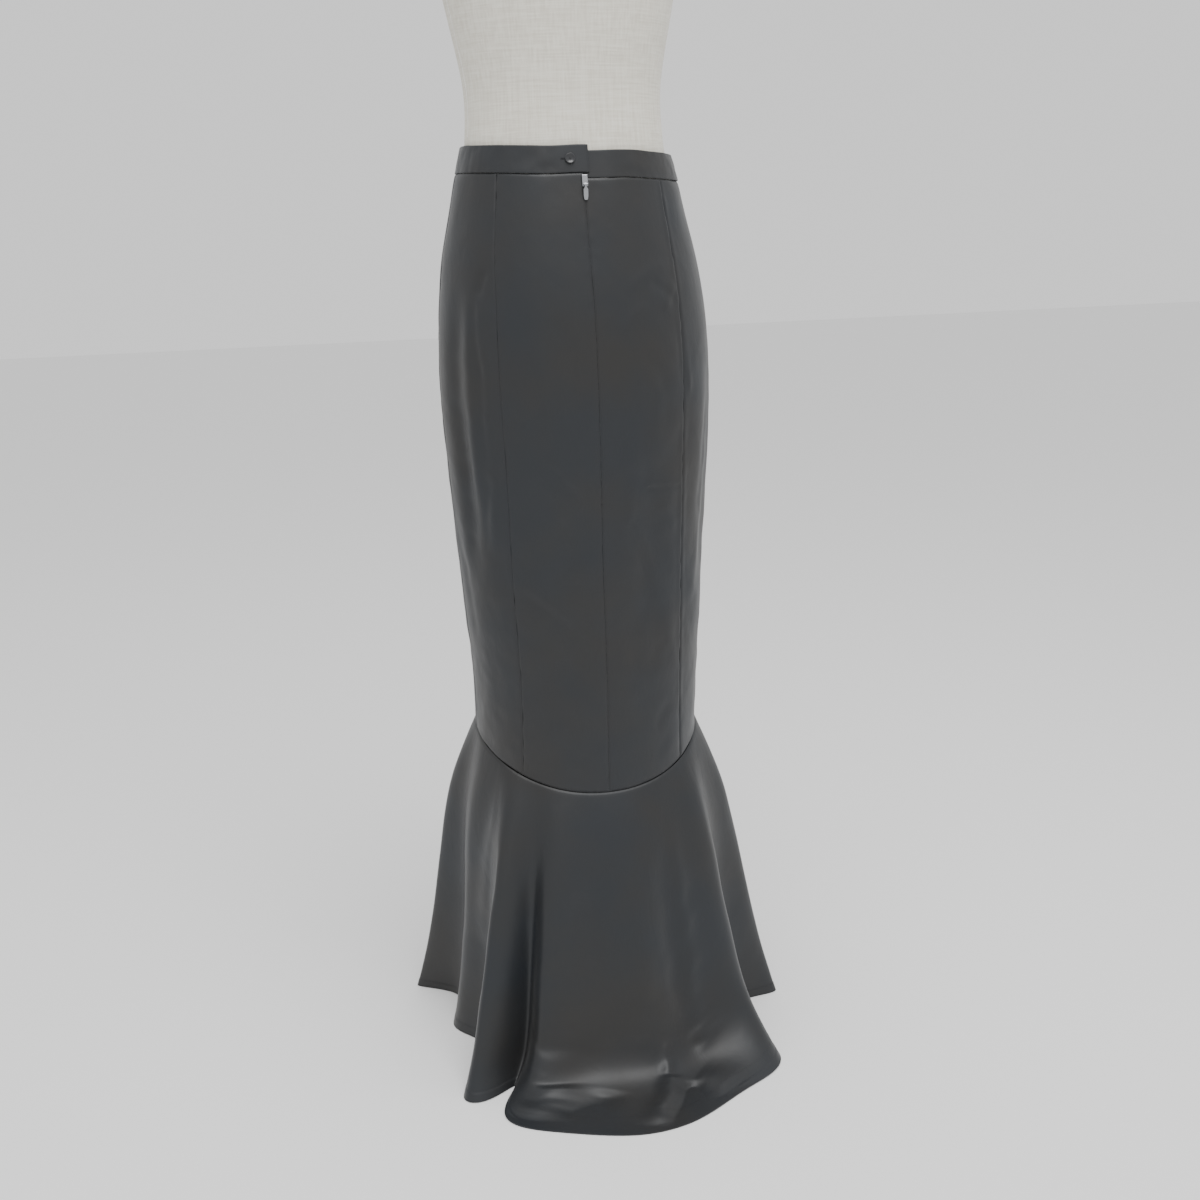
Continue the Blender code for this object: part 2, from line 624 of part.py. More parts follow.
def add_form_torso():
    """The dress form's smooth padded torso, closed above and below."""
    sizes = ring_function(FORM_RINGS)
    heights = [ring.z for ring in FORM_RINGS]
    degrees = np.linspace(0, 360, 37)[:-1]
    bm = bmesh.new()
    loops = []
    for z in heights:
        half_width, back, front, middle_y = sizes(z)
        x, y = section(degrees, half_width, back, front)
        swell = np.exp(-(((z - BUST_Z) / BUST_TALL) ** 2))
        for side in (-1, 1):
            spread = np.exp(-(((x - side * BUST_SPREAD) / BUST_WIDTH) ** 2))
            y = y - np.where(np.cos(np.radians(degrees)) < 0, BUST_HEIGHT * swell * spread, 0)
        loops.append([bm.verts.new((a, b + middle_y, z)) for a, b in zip(x, y)])
    for lower, upper in zip(loops, loops[1:]):
        for i in range(len(lower)):
            k = (i + 1) % len(lower)
            bm.faces.new((lower[i], lower[k], upper[k], upper[i]))
    bm.faces.new(loops[0])
    bm.faces.new(loops[-1])
    return add_object("form_torso", bm, LINEN)


def add_form_stand():
    """Neck cap, pole and round foot."""
    top = FORM_RINGS[-1]
    bm = bmesh.new()
    cap_radius = top.half_width + 0.002
    low = top.z + SEAM_GAP
    profile = ((0, 0), (cap_radius, 0), (cap_radius, NECK_CAP_WALL - 0.003))
    profile += ((cap_radius - 0.004, NECK_CAP_WALL), (0.012, NECK_CAP_WALL + 0.004), (0.010, 0.030), (0, 0.034))
    lathe(bm, profile, 32)
    add_object("form_neck_cap", bm, CAP_WOOD, (0, top.middle_y, low))
    bm = bmesh.new()
    pole_top = FORM_RINGS[0].z - SEAM_GAP
    pole_foot = FOOT_HUB_TOP + SEAM_GAP
    lathe(bm, ((0, pole_foot), (POLE_RADIUS, pole_foot), (POLE_RADIUS, pole_top), (0, pole_top)), 24)
    add_object("form_pole", bm, FORM_METAL)
    bm = bmesh.new()
    profile = ((0, 0), (FOOT_RADIUS, 0), (FOOT_RADIUS, FOOT_WALL - 0.003), (FOOT_RADIUS - 0.003, FOOT_WALL))
    profile += ((FOOT_HUB_RADIUS + 0.030, FOOT_WALL + 0.004), (FOOT_HUB_RADIUS, FOOT_WALL + 0.014))
    profile += ((FOOT_HUB_RADIUS - 0.004, FOOT_HUB_TOP - 0.002), (FOOT_HUB_RADIUS - 0.006, FOOT_HUB_TOP))
    profile += ((0, FOOT_HUB_TOP),)
    lathe(bm, profile, 40)
    add_object("form_foot", bm, FORM_METAL)


def stand_on_origin():
    """Moves every piece so that the origin is under the middle of the whole object, on the floor."""
    bpy.context.view_layer.update()
    shown = [obj for obj in bpy.data.objects if not obj.hide_render]
    corners = np.array([obj.matrix_world @ Vector(corner) for obj in shown for corner in obj.bound_box])
    middle = (corners.min(0) + corners.max(0)) / 2
    for obj in bpy.data.objects:
        obj.location -= Vector((middle[0], middle[1], 0))


def main():
    """Clears the scene and makes every piece."""
    for obj in list(bpy.data.objects):
        bpy.data.objects.remove(obj, do_unlink=True)
    princess = BACK_PRINCESS[0].deg
    add_waistband()
    add_panel("back_left", 0, princess, 8)
    add_panel("back_right", -princess, 0, 8)
    add_panel("side_back_left", princess, SIDE_DEG, 8)
    add_panel("side_back_right", -SIDE_DEG, -princess, 8)
    add_panel("side_front_left", SIDE_DEG, FRONT_PRINCESS_DEG, 7)
    add_panel("side_front_right", -FRONT_PRINCESS_DEG, -SIDE_DEG, 7)
    add_panel("front", FRONT_PRINCESS_DEG, 360 - FRONT_PRINCESS_DEG, 12)
    add_flounce("flounce_back", FLOUNCE_SEAM_RIGHT - 360, FLOUNCE_SEAM_LEFT, 61)
    add_flounce("flounce_front", FLOUNCE_SEAM_LEFT, FLOUNCE_SEAM_RIGHT, 53)
    add_zip_tape()
    on_cloth, turn = cloth_frame(0.0, PIN_Z, 0.0)
    pin = on_cloth + turn.to_3x3() @ Vector((0, PIN_STAND_OFF, 0))
    add_zip_slider(pin, turn)
    add_zip_pull(pin)
    add_button()
    add_form_torso()
    add_form_stand()
    stand_on_origin()


main()
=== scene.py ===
"""Looks for a black satin mermaid skirt with a fishtail flounce, worn by a linen dress form.

Metres, +Z up. The skirt's front faces -Y, its back +Y, and the wearer's left is +X. Angles go round the form's
pole from the centre back, 0, to the wearer's left side, 90, and the centre front, 180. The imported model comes
first, and every piece is laid out round its pole.
"""

from __future__ import annotations

import json
import logging
import math
from dataclasses import dataclass, field
from enum import Enum
from typing import Sequence

import bmesh
import bpy
import numpy as np
from mathutils import Matrix, Vector

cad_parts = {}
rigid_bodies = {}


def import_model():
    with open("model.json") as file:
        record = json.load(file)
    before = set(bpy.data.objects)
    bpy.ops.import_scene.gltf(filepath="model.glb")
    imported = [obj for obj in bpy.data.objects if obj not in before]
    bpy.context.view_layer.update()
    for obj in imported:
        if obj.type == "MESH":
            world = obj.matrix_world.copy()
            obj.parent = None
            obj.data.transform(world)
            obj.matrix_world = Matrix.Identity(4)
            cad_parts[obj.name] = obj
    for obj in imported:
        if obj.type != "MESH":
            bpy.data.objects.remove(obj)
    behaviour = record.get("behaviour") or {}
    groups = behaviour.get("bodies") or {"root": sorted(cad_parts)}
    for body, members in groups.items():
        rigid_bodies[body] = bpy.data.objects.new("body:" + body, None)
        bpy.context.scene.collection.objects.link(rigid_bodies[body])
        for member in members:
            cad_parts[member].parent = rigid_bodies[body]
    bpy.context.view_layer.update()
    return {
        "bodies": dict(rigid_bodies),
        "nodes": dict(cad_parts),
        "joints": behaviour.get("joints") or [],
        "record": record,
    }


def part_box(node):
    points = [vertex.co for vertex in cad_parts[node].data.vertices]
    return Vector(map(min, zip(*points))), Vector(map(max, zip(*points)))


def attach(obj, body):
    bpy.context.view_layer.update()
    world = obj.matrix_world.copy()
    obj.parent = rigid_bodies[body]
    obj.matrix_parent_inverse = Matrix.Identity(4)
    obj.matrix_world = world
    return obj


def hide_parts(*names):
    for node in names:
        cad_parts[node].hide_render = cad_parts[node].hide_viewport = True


LOG = logging.getLogger("mermaid_skirt")
Array = np.ndarray
SKIRT_RADIUS = 0.138  # turns angles on the upper skirt into lengths
FLOUNCE_RADIUS = 0.20  # the same on the flounce
FLOUNCE_DEPTH = 0.36  # seam to hem, for the creases
PRINCESS_DEG = 45.5  # nominal angle of the back princess seams
BODY = "skirt_on_form"


# ---------------------------------------------------------------------------------------------- curves and noise


class Spline:
    """A natural cubic spline through values that belong to rising keys."""

    def __init__(self, keys: Sequence[float], values: Sequence, turn: float = 0.0) -> None:
        """Fits the spline.

        Args:
            keys: rising numbers.
            values: one number or one row of numbers for each key.
            turn: if not 0, the values come round again after this much of the key.
        """
        self.turn = turn
        keys = np.asarray(keys, float)
        values = np.asarray(values, float)
        if turn:
            keys = np.concatenate([keys[-4:] - turn, keys, keys[:4] + turn])
            values = np.concatenate([values[-4:], values, values[:4]])
        count, step = len(keys), np.diff(keys)
        matrix, right = np.eye(count), np.zeros_like(values)
        for i in range(1, count - 1):
            matrix[i, i - 1 : i + 2] = step[i - 1], 2 * (step[i - 1] + step[i]), step[i]
            right[i] = 6 * ((values[i + 1] - values[i]) / step[i] - (values[i] - values[i - 1]) / step[i - 1])
        self.keys, self.values, self.step = keys, values, step
        self.bend = np.linalg.solve(matrix, right)

    def __call__(self, key: Array | float) -> Array:
        """The spline's value at each key."""
        key = np.mod(key, self.turn) if self.turn else np.asarray(key, float)
        key = np.clip(key, self.keys[0], self.keys[-1])
        i = np.clip(np.searchsorted(self.keys, key) - 1, 0, len(self.keys) - 2)
        wide = self.step[i]
        before = (self.keys[i + 1] - key) / wide
        after = 1 - before
        if self.values.ndim > 1:
            wide, before, after = wide[..., None], before[..., None], after[..., None]
        straight = before * self.values[i] + after * self.values[i + 1]
        curve = (before**3 - before) * self.bend[i] + (after**3 - after) * self.bend[i + 1]
        return straight + curve * wide**2 / 6


class SoftNoise:
    """Smooth random hills on a plane, the same at every run."""

    def __init__(self, seed: int, size: int = 64) -> None:
        """Draws the hills' heights.

        Args:
            seed: of the random numbers.
            size: steps after which the hills come again.
        """
        self.size = size
        self.heights = np.random.default_rng(seed).uniform(-1, 1, (size, size))

    def __call__(self, across: Array, along: Array) -> Array:
        """Height between -1 and 1 at each place, with a hill about every 2 units."""
        i, j = np.floor(across).astype(int), np.floor(along).astype(int)
        u, v = across - i, along - j
        u, v = u * u * u * (u * (6 * u - 15) + 10), v * v * v * (v * (6 * v - 15) + 10)
        h, n = self.heights, self.size
        low = h[i % n, j % n] * (1 - u) + h[(i + 1) % n, j % n] * u
        high = h[i % n, (j + 1) % n] * (1 - u) + h[(i + 1) % n, (j + 1) % n] * u
        return low * (1 - v) + high * v


def soft_step(low: float, high: float, value: Array | float) -> Array:
    """0 below the low value, 1 above the high one, with a soft change between."""
    share = np.clip((np.asarray(value, float) - low) / (high - low), 0, 1)
    return share * share * (3 - 2 * share)


def turned(degrees: Array | float) -> Array:
    """An angle brought between -180 and 180."""
    return (np.asarray(degrees, float) + 180) % 360 - 180


# ---------------------------------------------------------------------------------------------------- the shape


@dataclass(frozen=True)
class Ring:
    """A level section of the upper skirt."""

    z: float
    half_width: float
    back: float
    front: float
    middle_x: float


@dataclass(frozen=True)
class Drape:
    """A long soft fold of the upper skirt, from top to foot."""

    top_deg: float
    top_z: float
    foot_deg: float
    foot_z: float
    depth: float
    width_deg: float


@dataclass(frozen=True)
class Fold:
    """A fold line of the flounce, from its seam over its knee to the hem."""

    seam_deg: float
    knee_deg: float
    knee_r: float
    knee_z: float
    hem_deg: float
    hem_r: float
    spring: float


class CreaseKind(Enum):
    """How the cloth stands across a crease."""

    TROUGH = "trough"
    RIDGE = "ridge"
    STEP = "step"  # a ridge beside a trough


@dataclass(frozen=True)
class Crease:
    """A crease laid on a surface, from one end to the other.

    The first coordinate of an end is the angle round the body, and the second the height on the upper skirt or
    the share of the way to the hem on the flounce. depth, width and bow, its sideways bend, are in metres.
    """

    first: tuple[float, float]
    last: tuple[float, float]
    depth: float
    width: float
    kind: CreaseKind = CreaseKind.TROUGH
    bow: float = 0.0
    blunt: float = 0.25  # share of its length over which each end fades

    def height(self, degrees: Array, along: Array, radius: float, unit: float, wander: SoftNoise) -> Array:
        """How far the crease moves each point out.

        Args:
            degrees: angles round the body.
            along: the second coordinate of each point.
            radius: of the body there, which turns angles into lengths.
            unit: metres that one step of the second coordinate stands for.
            wander: makes its depth and line uneven.

        Returns:
            Metres, out of the surface.
        """
        scale = math.radians(radius), unit
        x = turned(degrees - self.first[0]) * scale[0]
        y = (along - self.first[1]) * scale[1]
        end_x = float(turned(self.last[0] - self.first[0])) * scale[0]
        end_y = (self.last[1] - self.first[1]) * scale[1]
        length = math.hypot(end_x, end_y)
        end_x, end_y = end_x / length, end_y / length
        share = (x * end_x + y * end_y) / length
        aside = x * end_y - y * end_x - self.bow * 4 * share * (1 - share)
        seed = self.first[0] * 0.37 + self.first[1] * 11.0
        aside = aside + 0.25 * self.width * wander(share * length / 0.018 + seed, 0 * share + seed)
        reach = soft_step(0, self.blunt, share) * (1 - soft_step(1 - self.blunt, 1, share))
        reach = reach * (1 + 0.35 * wander(share * length / 0.022 - seed, 0 * share + 7.3))
        across = aside / self.width
        if self.kind is CreaseKind.STEP:
            return self.depth * reach * across * np.exp(0.5 - across**2)
        sign = -1 if self.kind is CreaseKind.TROUGH else 1
        return sign * self.depth * reach * np.exp(-(across**2))


SKIRT_RINGS = (
    Ring(1.060, 0.1165, 0.0895, 0.0890, 0.0),
    Ring(1.020, 0.1270, 0.0965, 0.0960, 0.0),
    Ring(0.985, 0.1345, 0.1030, 0.1000, 0.0),
    Ring(0.940, 0.1450, 0.1100, 0.1040, -0.0005),
    Ring(0.895, 0.1525, 0.1160, 0.1070, -0.0020),
    Ring(0.850, 0.1572, 0.1190, 0.1090, -0.0028),
    Ring(0.790, 0.1597, 0.1185, 0.1105, -0.0037),
    Ring(0.730, 0.1576, 0.1165, 0.1110, -0.0042),
    Ring(0.660, 0.1530, 0.1160, 0.1115, -0.0038),
    Ring(0.590, 0.1478, 0.1165, 0.1120, -0.0030),
    Ring(0.510, 0.1423, 0.1185, 0.1130, -0.0030),
    Ring(0.440, 0.1375, 0.1205, 0.1140, -0.0026),
    Ring(0.380, 0.1360, 0.1225, 0.1150, -0.0012),
    Ring(0.300, 0.1355, 0.1240, 0.1160, 0.0),
)
SKIRT_DRAPES = (
    Drape(66, 0.930, 66, 0.560, -0.0050, 7.0),
    Drape(56, 0.930, 57, 0.640, 0.0030, 6.0),
    Drape(20, 0.720, 12, 0.420, -0.0030, 9.0),
    Drape(-24, 0.740, -18, 0.450, -0.0030, 9.0),
    Drape(-68, 0.860, -66, 0.520, -0.0035, 8.0),
    Drape(112, 0.860, 110, 0.480, -0.0040, 9.0),
    Drape(150, 0.800, 156, 0.460, -0.0030, 9.0),
    Drape(-152, 0.820, -148, 0.480, -0.0035, 9.0),
    Drape(-114, 0.880, -116, 0.520, -0.0040, 8.0),
)
FLOUNCE_FOLDS = (
    Fold(0, 2, 0.222, 0.006, 4, 0.327, 0.010),
    Fold(14, 18, 0.226, 0.008, 20, 0.316, 0.010),
    Fold(25, 30, 0.240, 0.014, 33, 0.296, 0.010),
    Fold(35, 36, 0.205, 0.030, 36, 0.238, 0.010),
    Fold(44, 41, 0.258, 0.030, 40, 0.279, 0.012),
    Fold(50, 45, 0.266, 0.035, 45, 0.283, 0.012),
    Fold(62, 57, 0.180, 0.040, 57, 0.190, 0.012),
    Fold(74, 78, 0.184, 0.040, 79, 0.192, 0.014),
    Fold(86, 98, 0.170, 0.040, 102, 0.176, 0.018),
    Fold(98, 109, 0.224, 0.035, 110, 0.235, 0.022),
    Fold(113, 126, 0.176, 0.040, 127, 0.182, 0.020),
    Fold(128, 140, 0.220, 0.035, 141, 0.230, 0.014),
    Fold(144, 153, 0.180, 0.040, 154, 0.186, 0.010),
    Fold(160, 167, 0.217, 0.035, 168, 0.225, 0.010),
    Fold(178, 181, 0.182, 0.040, 181, 0.188, 0.010),
    Fold(196, 196, 0.220, 0.035, 196, 0.229, 0.010),
    Fold(212, 209, 0.180, 0.040, 209, 0.187, 0.010),
    Fold(227, 223, 0.221, 0.035, 222, 0.230, 0.010),
    Fold(243, 240, 0.176, 0.040, 240, 0.182, 0.010),
    Fold(259, 258, 0.215, 0.035, 258, 0.224, 0.012),
    Fold(270, 271, 0.178, 0.040, 271, 0.183, 0.014),
    Fold(280, 283, 0.222, 0.035, 285, 0.232, 0.016),
    Fold(299, 302, 0.178, 0.040, 302, 0.184, 0.014),
    Fold(313, 317, 0.224, 0.055, 320, 0.276, 0.012),
    Fold(326, 334, 0.216, 0.020, 335, 0.296, 0.010),
    Fold(343, 349, 0.220, 0.008, 350, 0.316, 0.010),
)
BACK_PRINCESS = (  # height, angle
    (0.330, 44.5),
    (0.450, 43.0),
    (0.580, 42.0),
    (0.700, 40.5),
    (0.800, 40.5),
    (0.930, 42.5),
    (1.030, 45.5),
)

T, R, S = CreaseKind.TROUGH, CreaseKind.RIDGE, CreaseKind.STEP
SKIRT_CREASES = (
    # Pucker at the left princess seam, and the soft fold that runs down from it
    Crease((47, 0.925), (53, 0.893), 0.0016, 0.006, T),
    Crease((54, 0.905), (50, 0.720), 0.0022, 0.008, S, 0.006),
    Crease((50, 0.760), (54, 0.600), 0.0014, 0.009, S, 0.004),
    Crease((46, 0.900), (45, 0.800), 0.0010, 0.006, R),
    Crease((62, 0.860), (58, 0.640), 0.0012, 0.012, R, -0.006),
    Crease((74, 0.820), (70, 0.560), 0.0012, 0.014, T, 0.008),
    # Right princess seam: small slanting puckers
    Crease((-12, 0.893), (-40, 0.924), 0.0007, 0.006, R, 0.006),
    Crease((-10, 0.846), (-24, 0.884), 0.0008, 0.006, R, 0.004),
    Crease((-24, 0.905), (-40, 0.880), 0.0008, 0.005, T, 0.003),
    Crease((-30, 0.872), (-41, 0.905), 0.0009, 0.005, R),
    Crease((-38, 0.870), (-42, 0.760), 0.0010, 0.006, S, 0.003),
    Crease((-16, 0.830), (-30, 0.780), 0.0007, 0.008, T, 0.006),
    Crease((-26, 0.800), (-20, 0.720), 0.0006, 0.008, R, 0.004),
    # Long soft lines down the two back pieces
    Crease((16, 0.880), (7, 0.745), 0.0010, 0.009, T, 0.004),
    Crease((22, 0.860), (18, 0.740), 0.0007, 0.010, R, -0.004),
    Crease((30, 0.830), (24, 0.690), 0.0007, 0.011, T, 0.006),
    Crease((6, 0.780), (9, 0.680), 0.0006, 0.007, R),
    Crease((-5, 0.800), (-8, 0.680), 0.0007, 0.008, T, 0.003),
    Crease((-14, 0.740), (-20, 0.640), 0.0007, 0.008, R, -0.005),
    # Where the cloth leaves the form's lower edge
    Crease((-18, 0.6765), (-43, 0.6745), 0.0012, 0.0024, S, 0.0012, 0.12),
    Crease((-8, 0.700), (-22, 0.680), 0.0006, 0.006, T, 0.002),
    Crease((-12, 0.690), (-10, 0.628), 0.0008, 0.006, R, 0.003),
    Crease((-8, 0.650), (-25, 0.538), 0.0011, 0.007, S, 0.008),
    Crease((-20, 0.640), (-33, 0.560), 0.0008, 0.008, T, 0.006),
    Crease((-27, 0.660), (-36, 0.620), 0.0007, 0.006, R, 0.003),
    Crease((-14, 0.590), (-26, 0.480), 0.0008, 0.010, T, 0.006),
    Crease((-30, 0.540), (-38, 0.440), 0.0007, 0.009, R, 0.004),
    Crease((-6, 0.540), (-16, 0.430), 0.0007, 0.010, T, 0.005),
    Crease((-34, 0.500), (-20, 0.465), 0.0006, 0.007, T, -0.004),
    Crease((-38, 0.420), (-24, 0.385), 0.0006, 0.008, T, -0.005),
    # Curved creases of the left back piece
    Crease((24, 0.720), (4, 0.600), 0.0011, 0.008, S, 0.016),
    Crease((33, 0.700), (14, 0.560), 0.0008, 0.010, T, 0.016),
    Crease((20, 0.690), (16, 0.640), 0.0007, 0.007, R, 0.003),
    Crease((38, 0.640), (26, 0.520), 0.0008, 0.009, R, 0.010),
    Crease((42, 0.570), (8, 0.458), 0.0011, 0.008, S, 0.024),
    Crease((36, 0.520), (12, 0.420), 0.0007, 0.010, T, 0.016),
    Crease((28, 0.600), (6, 0.520), 0.0006, 0.010, T, 0.012),
    Crease((8, 0.620), (3, 0.500), 0.0006, 0.008, R, 0.002),
    Crease((24, 0.372), (5, 0.342), 0.0007, 0.007, R, -0.004),
    Crease((20, 0.385), (8, 0.362), 0.0005, 0.006, T, -0.003),
    # Hidden sides and front
    Crease((96, 0.880), (104, 0.720), 0.0012, 0.010, T, 0.008),
    Crease((108, 0.780), (102, 0.600), 0.0012, 0.012, S, -0.008),
    Crease((122, 0.860), (128, 0.700), 0.0010, 0.010, R, 0.008),
    Crease((118, 0.640), (106, 0.480), 0.0011, 0.010, T, 0.014),
    Crease((140, 0.700), (124, 0.560), 0.0009, 0.009, S, 0.012),
    Crease((150, 0.660), (168, 0.600), 0.0010, 0.008, T, 0.010),
    Crease((160, 0.610), (176, 0.500), 0.0009, 0.010, S, 0.014),
    Crease((186, 0.680), (204, 0.560), 0.0009, 0.009, T, 0.014),
    Crease((198, 0.560), (214, 0.440), 0.0008, 0.010, R, 0.012),
    Crease((172, 0.880), (168, 0.720), 0.0006, 0.012, T, 0.006),
    Crease((204, 0.860), (212, 0.700), 0.0008, 0.011, T, 0.008),
    Crease((232, 0.880), (238, 0.700), 0.0011, 0.010, S, 0.008),
    Crease((246, 0.760), (240, 0.560), 0.0012, 0.012, T, 0.010),
    Crease((258, 0.900), (264, 0.760), 0.0010, 0.008, R, 0.006),
    Crease((276, 0.840), (284, 0.640), 0.0012, 0.011, T, 0.008),
    Crease((292, 0.780), (298, 0.600), 0.0010, 0.010, S, -0.008),
    Crease((300, 0.660), (312, 0.520), 0.0008, 0.009, R, 0.008),
    Crease((264, 0.600), (280, 0.450), 0.0009, 0.010, T, 0.014),
    Crease((88, 0.640), (76, 0.480), 0.0010, 0.010, T, 0.012),
)
FLOUNCE_CREASES = (
    # Centre of the train
    Crease((2, 0.04), (24, 0.70), 0.0050, 0.022, T, 0.010),
    Crease((-8, 0.06), (-10, 0.70), 0.0022, 0.020, R, 0.004),
    Crease((-20, 0.08), (-27, 0.75), 0.0030, 0.018, T, -0.008),
    Crease((-31, 0.04), (-33, 0.80), 0.0034, 0.012, R, 0.004),
    Crease((13, 0.20), (12, 0.62), 0.0022, 0.018, R, 0.006),
    # Folds that break over the floor
    Crease((-16, 0.58), (-13, 0.80), 0.0030, 0.009, R, 0.003),
    Crease((-13, 0.76), (-2, 0.985), 0.0060, 0.013, R, -0.006, 0.16),
    Crease((-20, 0.84), (-10, 0.995), 0.0046, 0.014, T, -0.004, 0.20),
    Crease((16, 0.74), (22, 0.96), 0.0050, 0.016, R, -0.004, 0.22),
    Crease((4, 0.80), (12, 0.96), 0.0034, 0.014, T, 0.004),
    Crease((-26, 0.82), (-33, 0.97), 0.0030, 0.014, R, 0.006),
    # Left side piece: a soft lit ridge under the seam
    Crease((60, 0.03), (66, 0.45), 0.0040, 0.012, R, 0.004),
    Crease((53, 0.10), (54, 0.50), 0.0030, 0.010, T, 0.002),
)


@dataclass
class SkirtShape:
    """The skirt's form, as functions of the angle round the body. The pole's place is added by build()."""

    power: float = 0.95
    waist_top: float = 1.049
    waist_tilt: float = 0.0075
    band_height: float = 0.029
    band_end_deg: float = -2.5
    band_underlap_deg: float = 13.0
    band_step: float = 0.0030
    band_step_deg: float = 24.0
    seam_z: float = 0.394
    seam_dip: float = 0.072
    seam_gap: float = 0.0003
    floor_gap: float = 0.0005
    hem_turn: float = 0.011  # depth of the hem's turned-up edge
    sizes: Spline = field(init=False)
    princess: Spline = field(init=False)
    knees: Spline = field(init=False)
    hems: Spline = field(init=False)
    springs: Spline = field(init=False)
    wander: SoftNoise = field(init=False)
    crumple: tuple[SoftNoise, ...] = field(init=False)

    def __post_init__(self) -> None:
        """Fits the splines."""
        rings = sorted(SKIRT_RINGS, key=lambda ring: ring.z)
        rows = [(ring.half_width, ring.back, ring.front, ring.middle_x) for ring in rings]
        self.sizes = Spline([ring.z for ring in rings], rows)
        self.princess = Spline(*zip(*BACK_PRINCESS))
        seams = [fold.seam_deg for fold in FLOUNCE_FOLDS]
        knees = [self.polar(fold.knee_deg, fold.knee_r, fold.knee_z) for fold in FLOUNCE_FOLDS]
        hems = [self.polar(fold.hem_deg, fold.hem_r, self.floor_gap) for fold in FLOUNCE_FOLDS]
        self.knees, self.hems = Spline(seams, knees, 360), Spline(seams, hems, 360)
        self.springs = Spline(seams, [fold.spring for fold in FLOUNCE_FOLDS], 360)
        self.wander = SoftNoise(11)
        self.crumple = tuple(SoftNoise(seed) for seed in (21, 22, 23, 24))

    @staticmethod
    def polar(degrees: float, radius: float, z: float) -> tuple[float, float, float]:
        """A point given by its angle round the body, its distance from the pole and its height."""
        angle = math.radians(degrees)
        return radius * math.sin(angle), radius * math.cos(angle), z

    def section(self, degrees: Array, half_width: Array, back: Array, front: Array) -> tuple[Array, Array]:
        """Points of a level section, round the body from the centre back."""
        angle = np.radians(degrees)
        across, along = np.sin(angle), np.cos(angle)
        depth = np.where(along > 0, back, front)
        x = half_width * np.sign(across) * np.abs(across) ** self.power
        y = depth * np.sign(along) * np.abs(along) ** self.power
        return x, y

    def band_top(self, degrees: Array | float) -> Array:
        """Height of the band's upper edge, along its whole length from the overlap's end."""
        tilt = self.waist_tilt * np.sin(np.radians(degrees))
        overlap = 1 - soft_step(self.band_end_deg, self.band_end_deg + self.band_step_deg, degrees)
        underlap = soft_step(360 - self.band_step_deg, 360, degrees)
        return self.waist_top + tilt + self.band_step * (overlap - underlap)

    def panel_top(self, degrees: Array) -> Array:
        """Height of the upper skirt's top edge, under the band."""
        return self.band_top(np.mod(degrees, 360)) - self.band_height

    def flounce_seam(self, degrees: Array) -> Array:
        """Height of the seam between the upper skirt and the flounce."""
        return self.seam_z - self.seam_dip * (1 + np.cos(np.radians(degrees))) ** 2 / 4

    def drape_depth(self, degrees: Array, z: Array) -> Array:
        """How far the long soft folds move the upper skirt in or out."""
        total = np.zeros(np.broadcast(degrees, z).shape)
        for fold in SKIRT_DRAPES:
            share = (fold.top_z - z) / (fold.top_z - fold.foot_z)
            middle = fold.top_deg + (fold.foot_deg - fold.top_deg) * share
            reach = soft_step(0, 0.35, share) * (1 - soft_step(0.70, 1, share))
            total = total + fold.depth * reach * np.exp(-((turned(degrees - middle) / fold.width_deg) ** 2))
        return total

    def crease_height(self, degrees: Array, z: Array) -> Array:
        """How far the creases and the fine crumple move the upper skirt out."""
        total = np.zeros(np.broadcast(degrees, z).shape)
        for crease in SKIRT_CREASES:
            total = total + crease.height(degrees, z, SKIRT_RADIUS, 1.0, self.wander)
        across, lower = np.radians(degrees) * 0.14, 1 - soft_step(0.72, 0.90, z)
        fine = self.crumple[0]((across * 0.8 + z * 0.6) / 0.024, (z * 0.8 - across * 0.6) / 0.034)
        small = self.crumple[1]((across * 0.6 - z * 0.8) / 0.011, (z * 0.6 + across * 0.8) / 0.019)
        broad = self.crumple[2](across / 0.05, z / 0.09)
        return total + (0.25 + 0.75 * lower) * (0.00055 * fine + 0.00018 * small) + 0.0007 * broad

    def skirt(self, degrees: Array, z: Array, out: Array | float = 0.0) -> Array:
        """A point on the upper skirt's outer face, moved out by the amount given."""
        degrees, z = np.broadcast_arrays(np.asarray(degrees, float), np.asarray(z, float))
        half_width, back, front, middle_x = np.moveaxis(self.sizes(z), -1, 0)
        move = self.drape_depth(degrees, z) + out
        x, y = self.section(degrees, half_width + move, back + move, front + move)
        return np.stack([x + middle_x, y, z], -1)

    @staticmethod
    def weights(count: int, share: Array, degree: int = 3) -> list[Array]:
        """Weights of the points of an open B-spline at each share of its length."""
        inner = np.linspace(0, 1, count - degree + 1)
        knots = np.concatenate([np.zeros(degree), inner, np.ones(degree)])
        share = np.clip(share, 0, 1 - 1e-9)
        found = [((knots[i] <= share) & (share < knots[i + 1])) * 1.0 for i in range(len(knots) - 1)]
        for order in range(1, degree + 1):
            raised = []
            for i in range(len(found) - 1):
                left, right = knots[i + order] - knots[i], knots[i + order + 1] - knots[i + 1]
                value = (share - knots[i]) / left * found[i] if left else 0 * share
                if right:
                    value = value + (knots[i + order + 1] - share) / right * found[i + 1]
                raised.append(value)
            found = raised
        return found

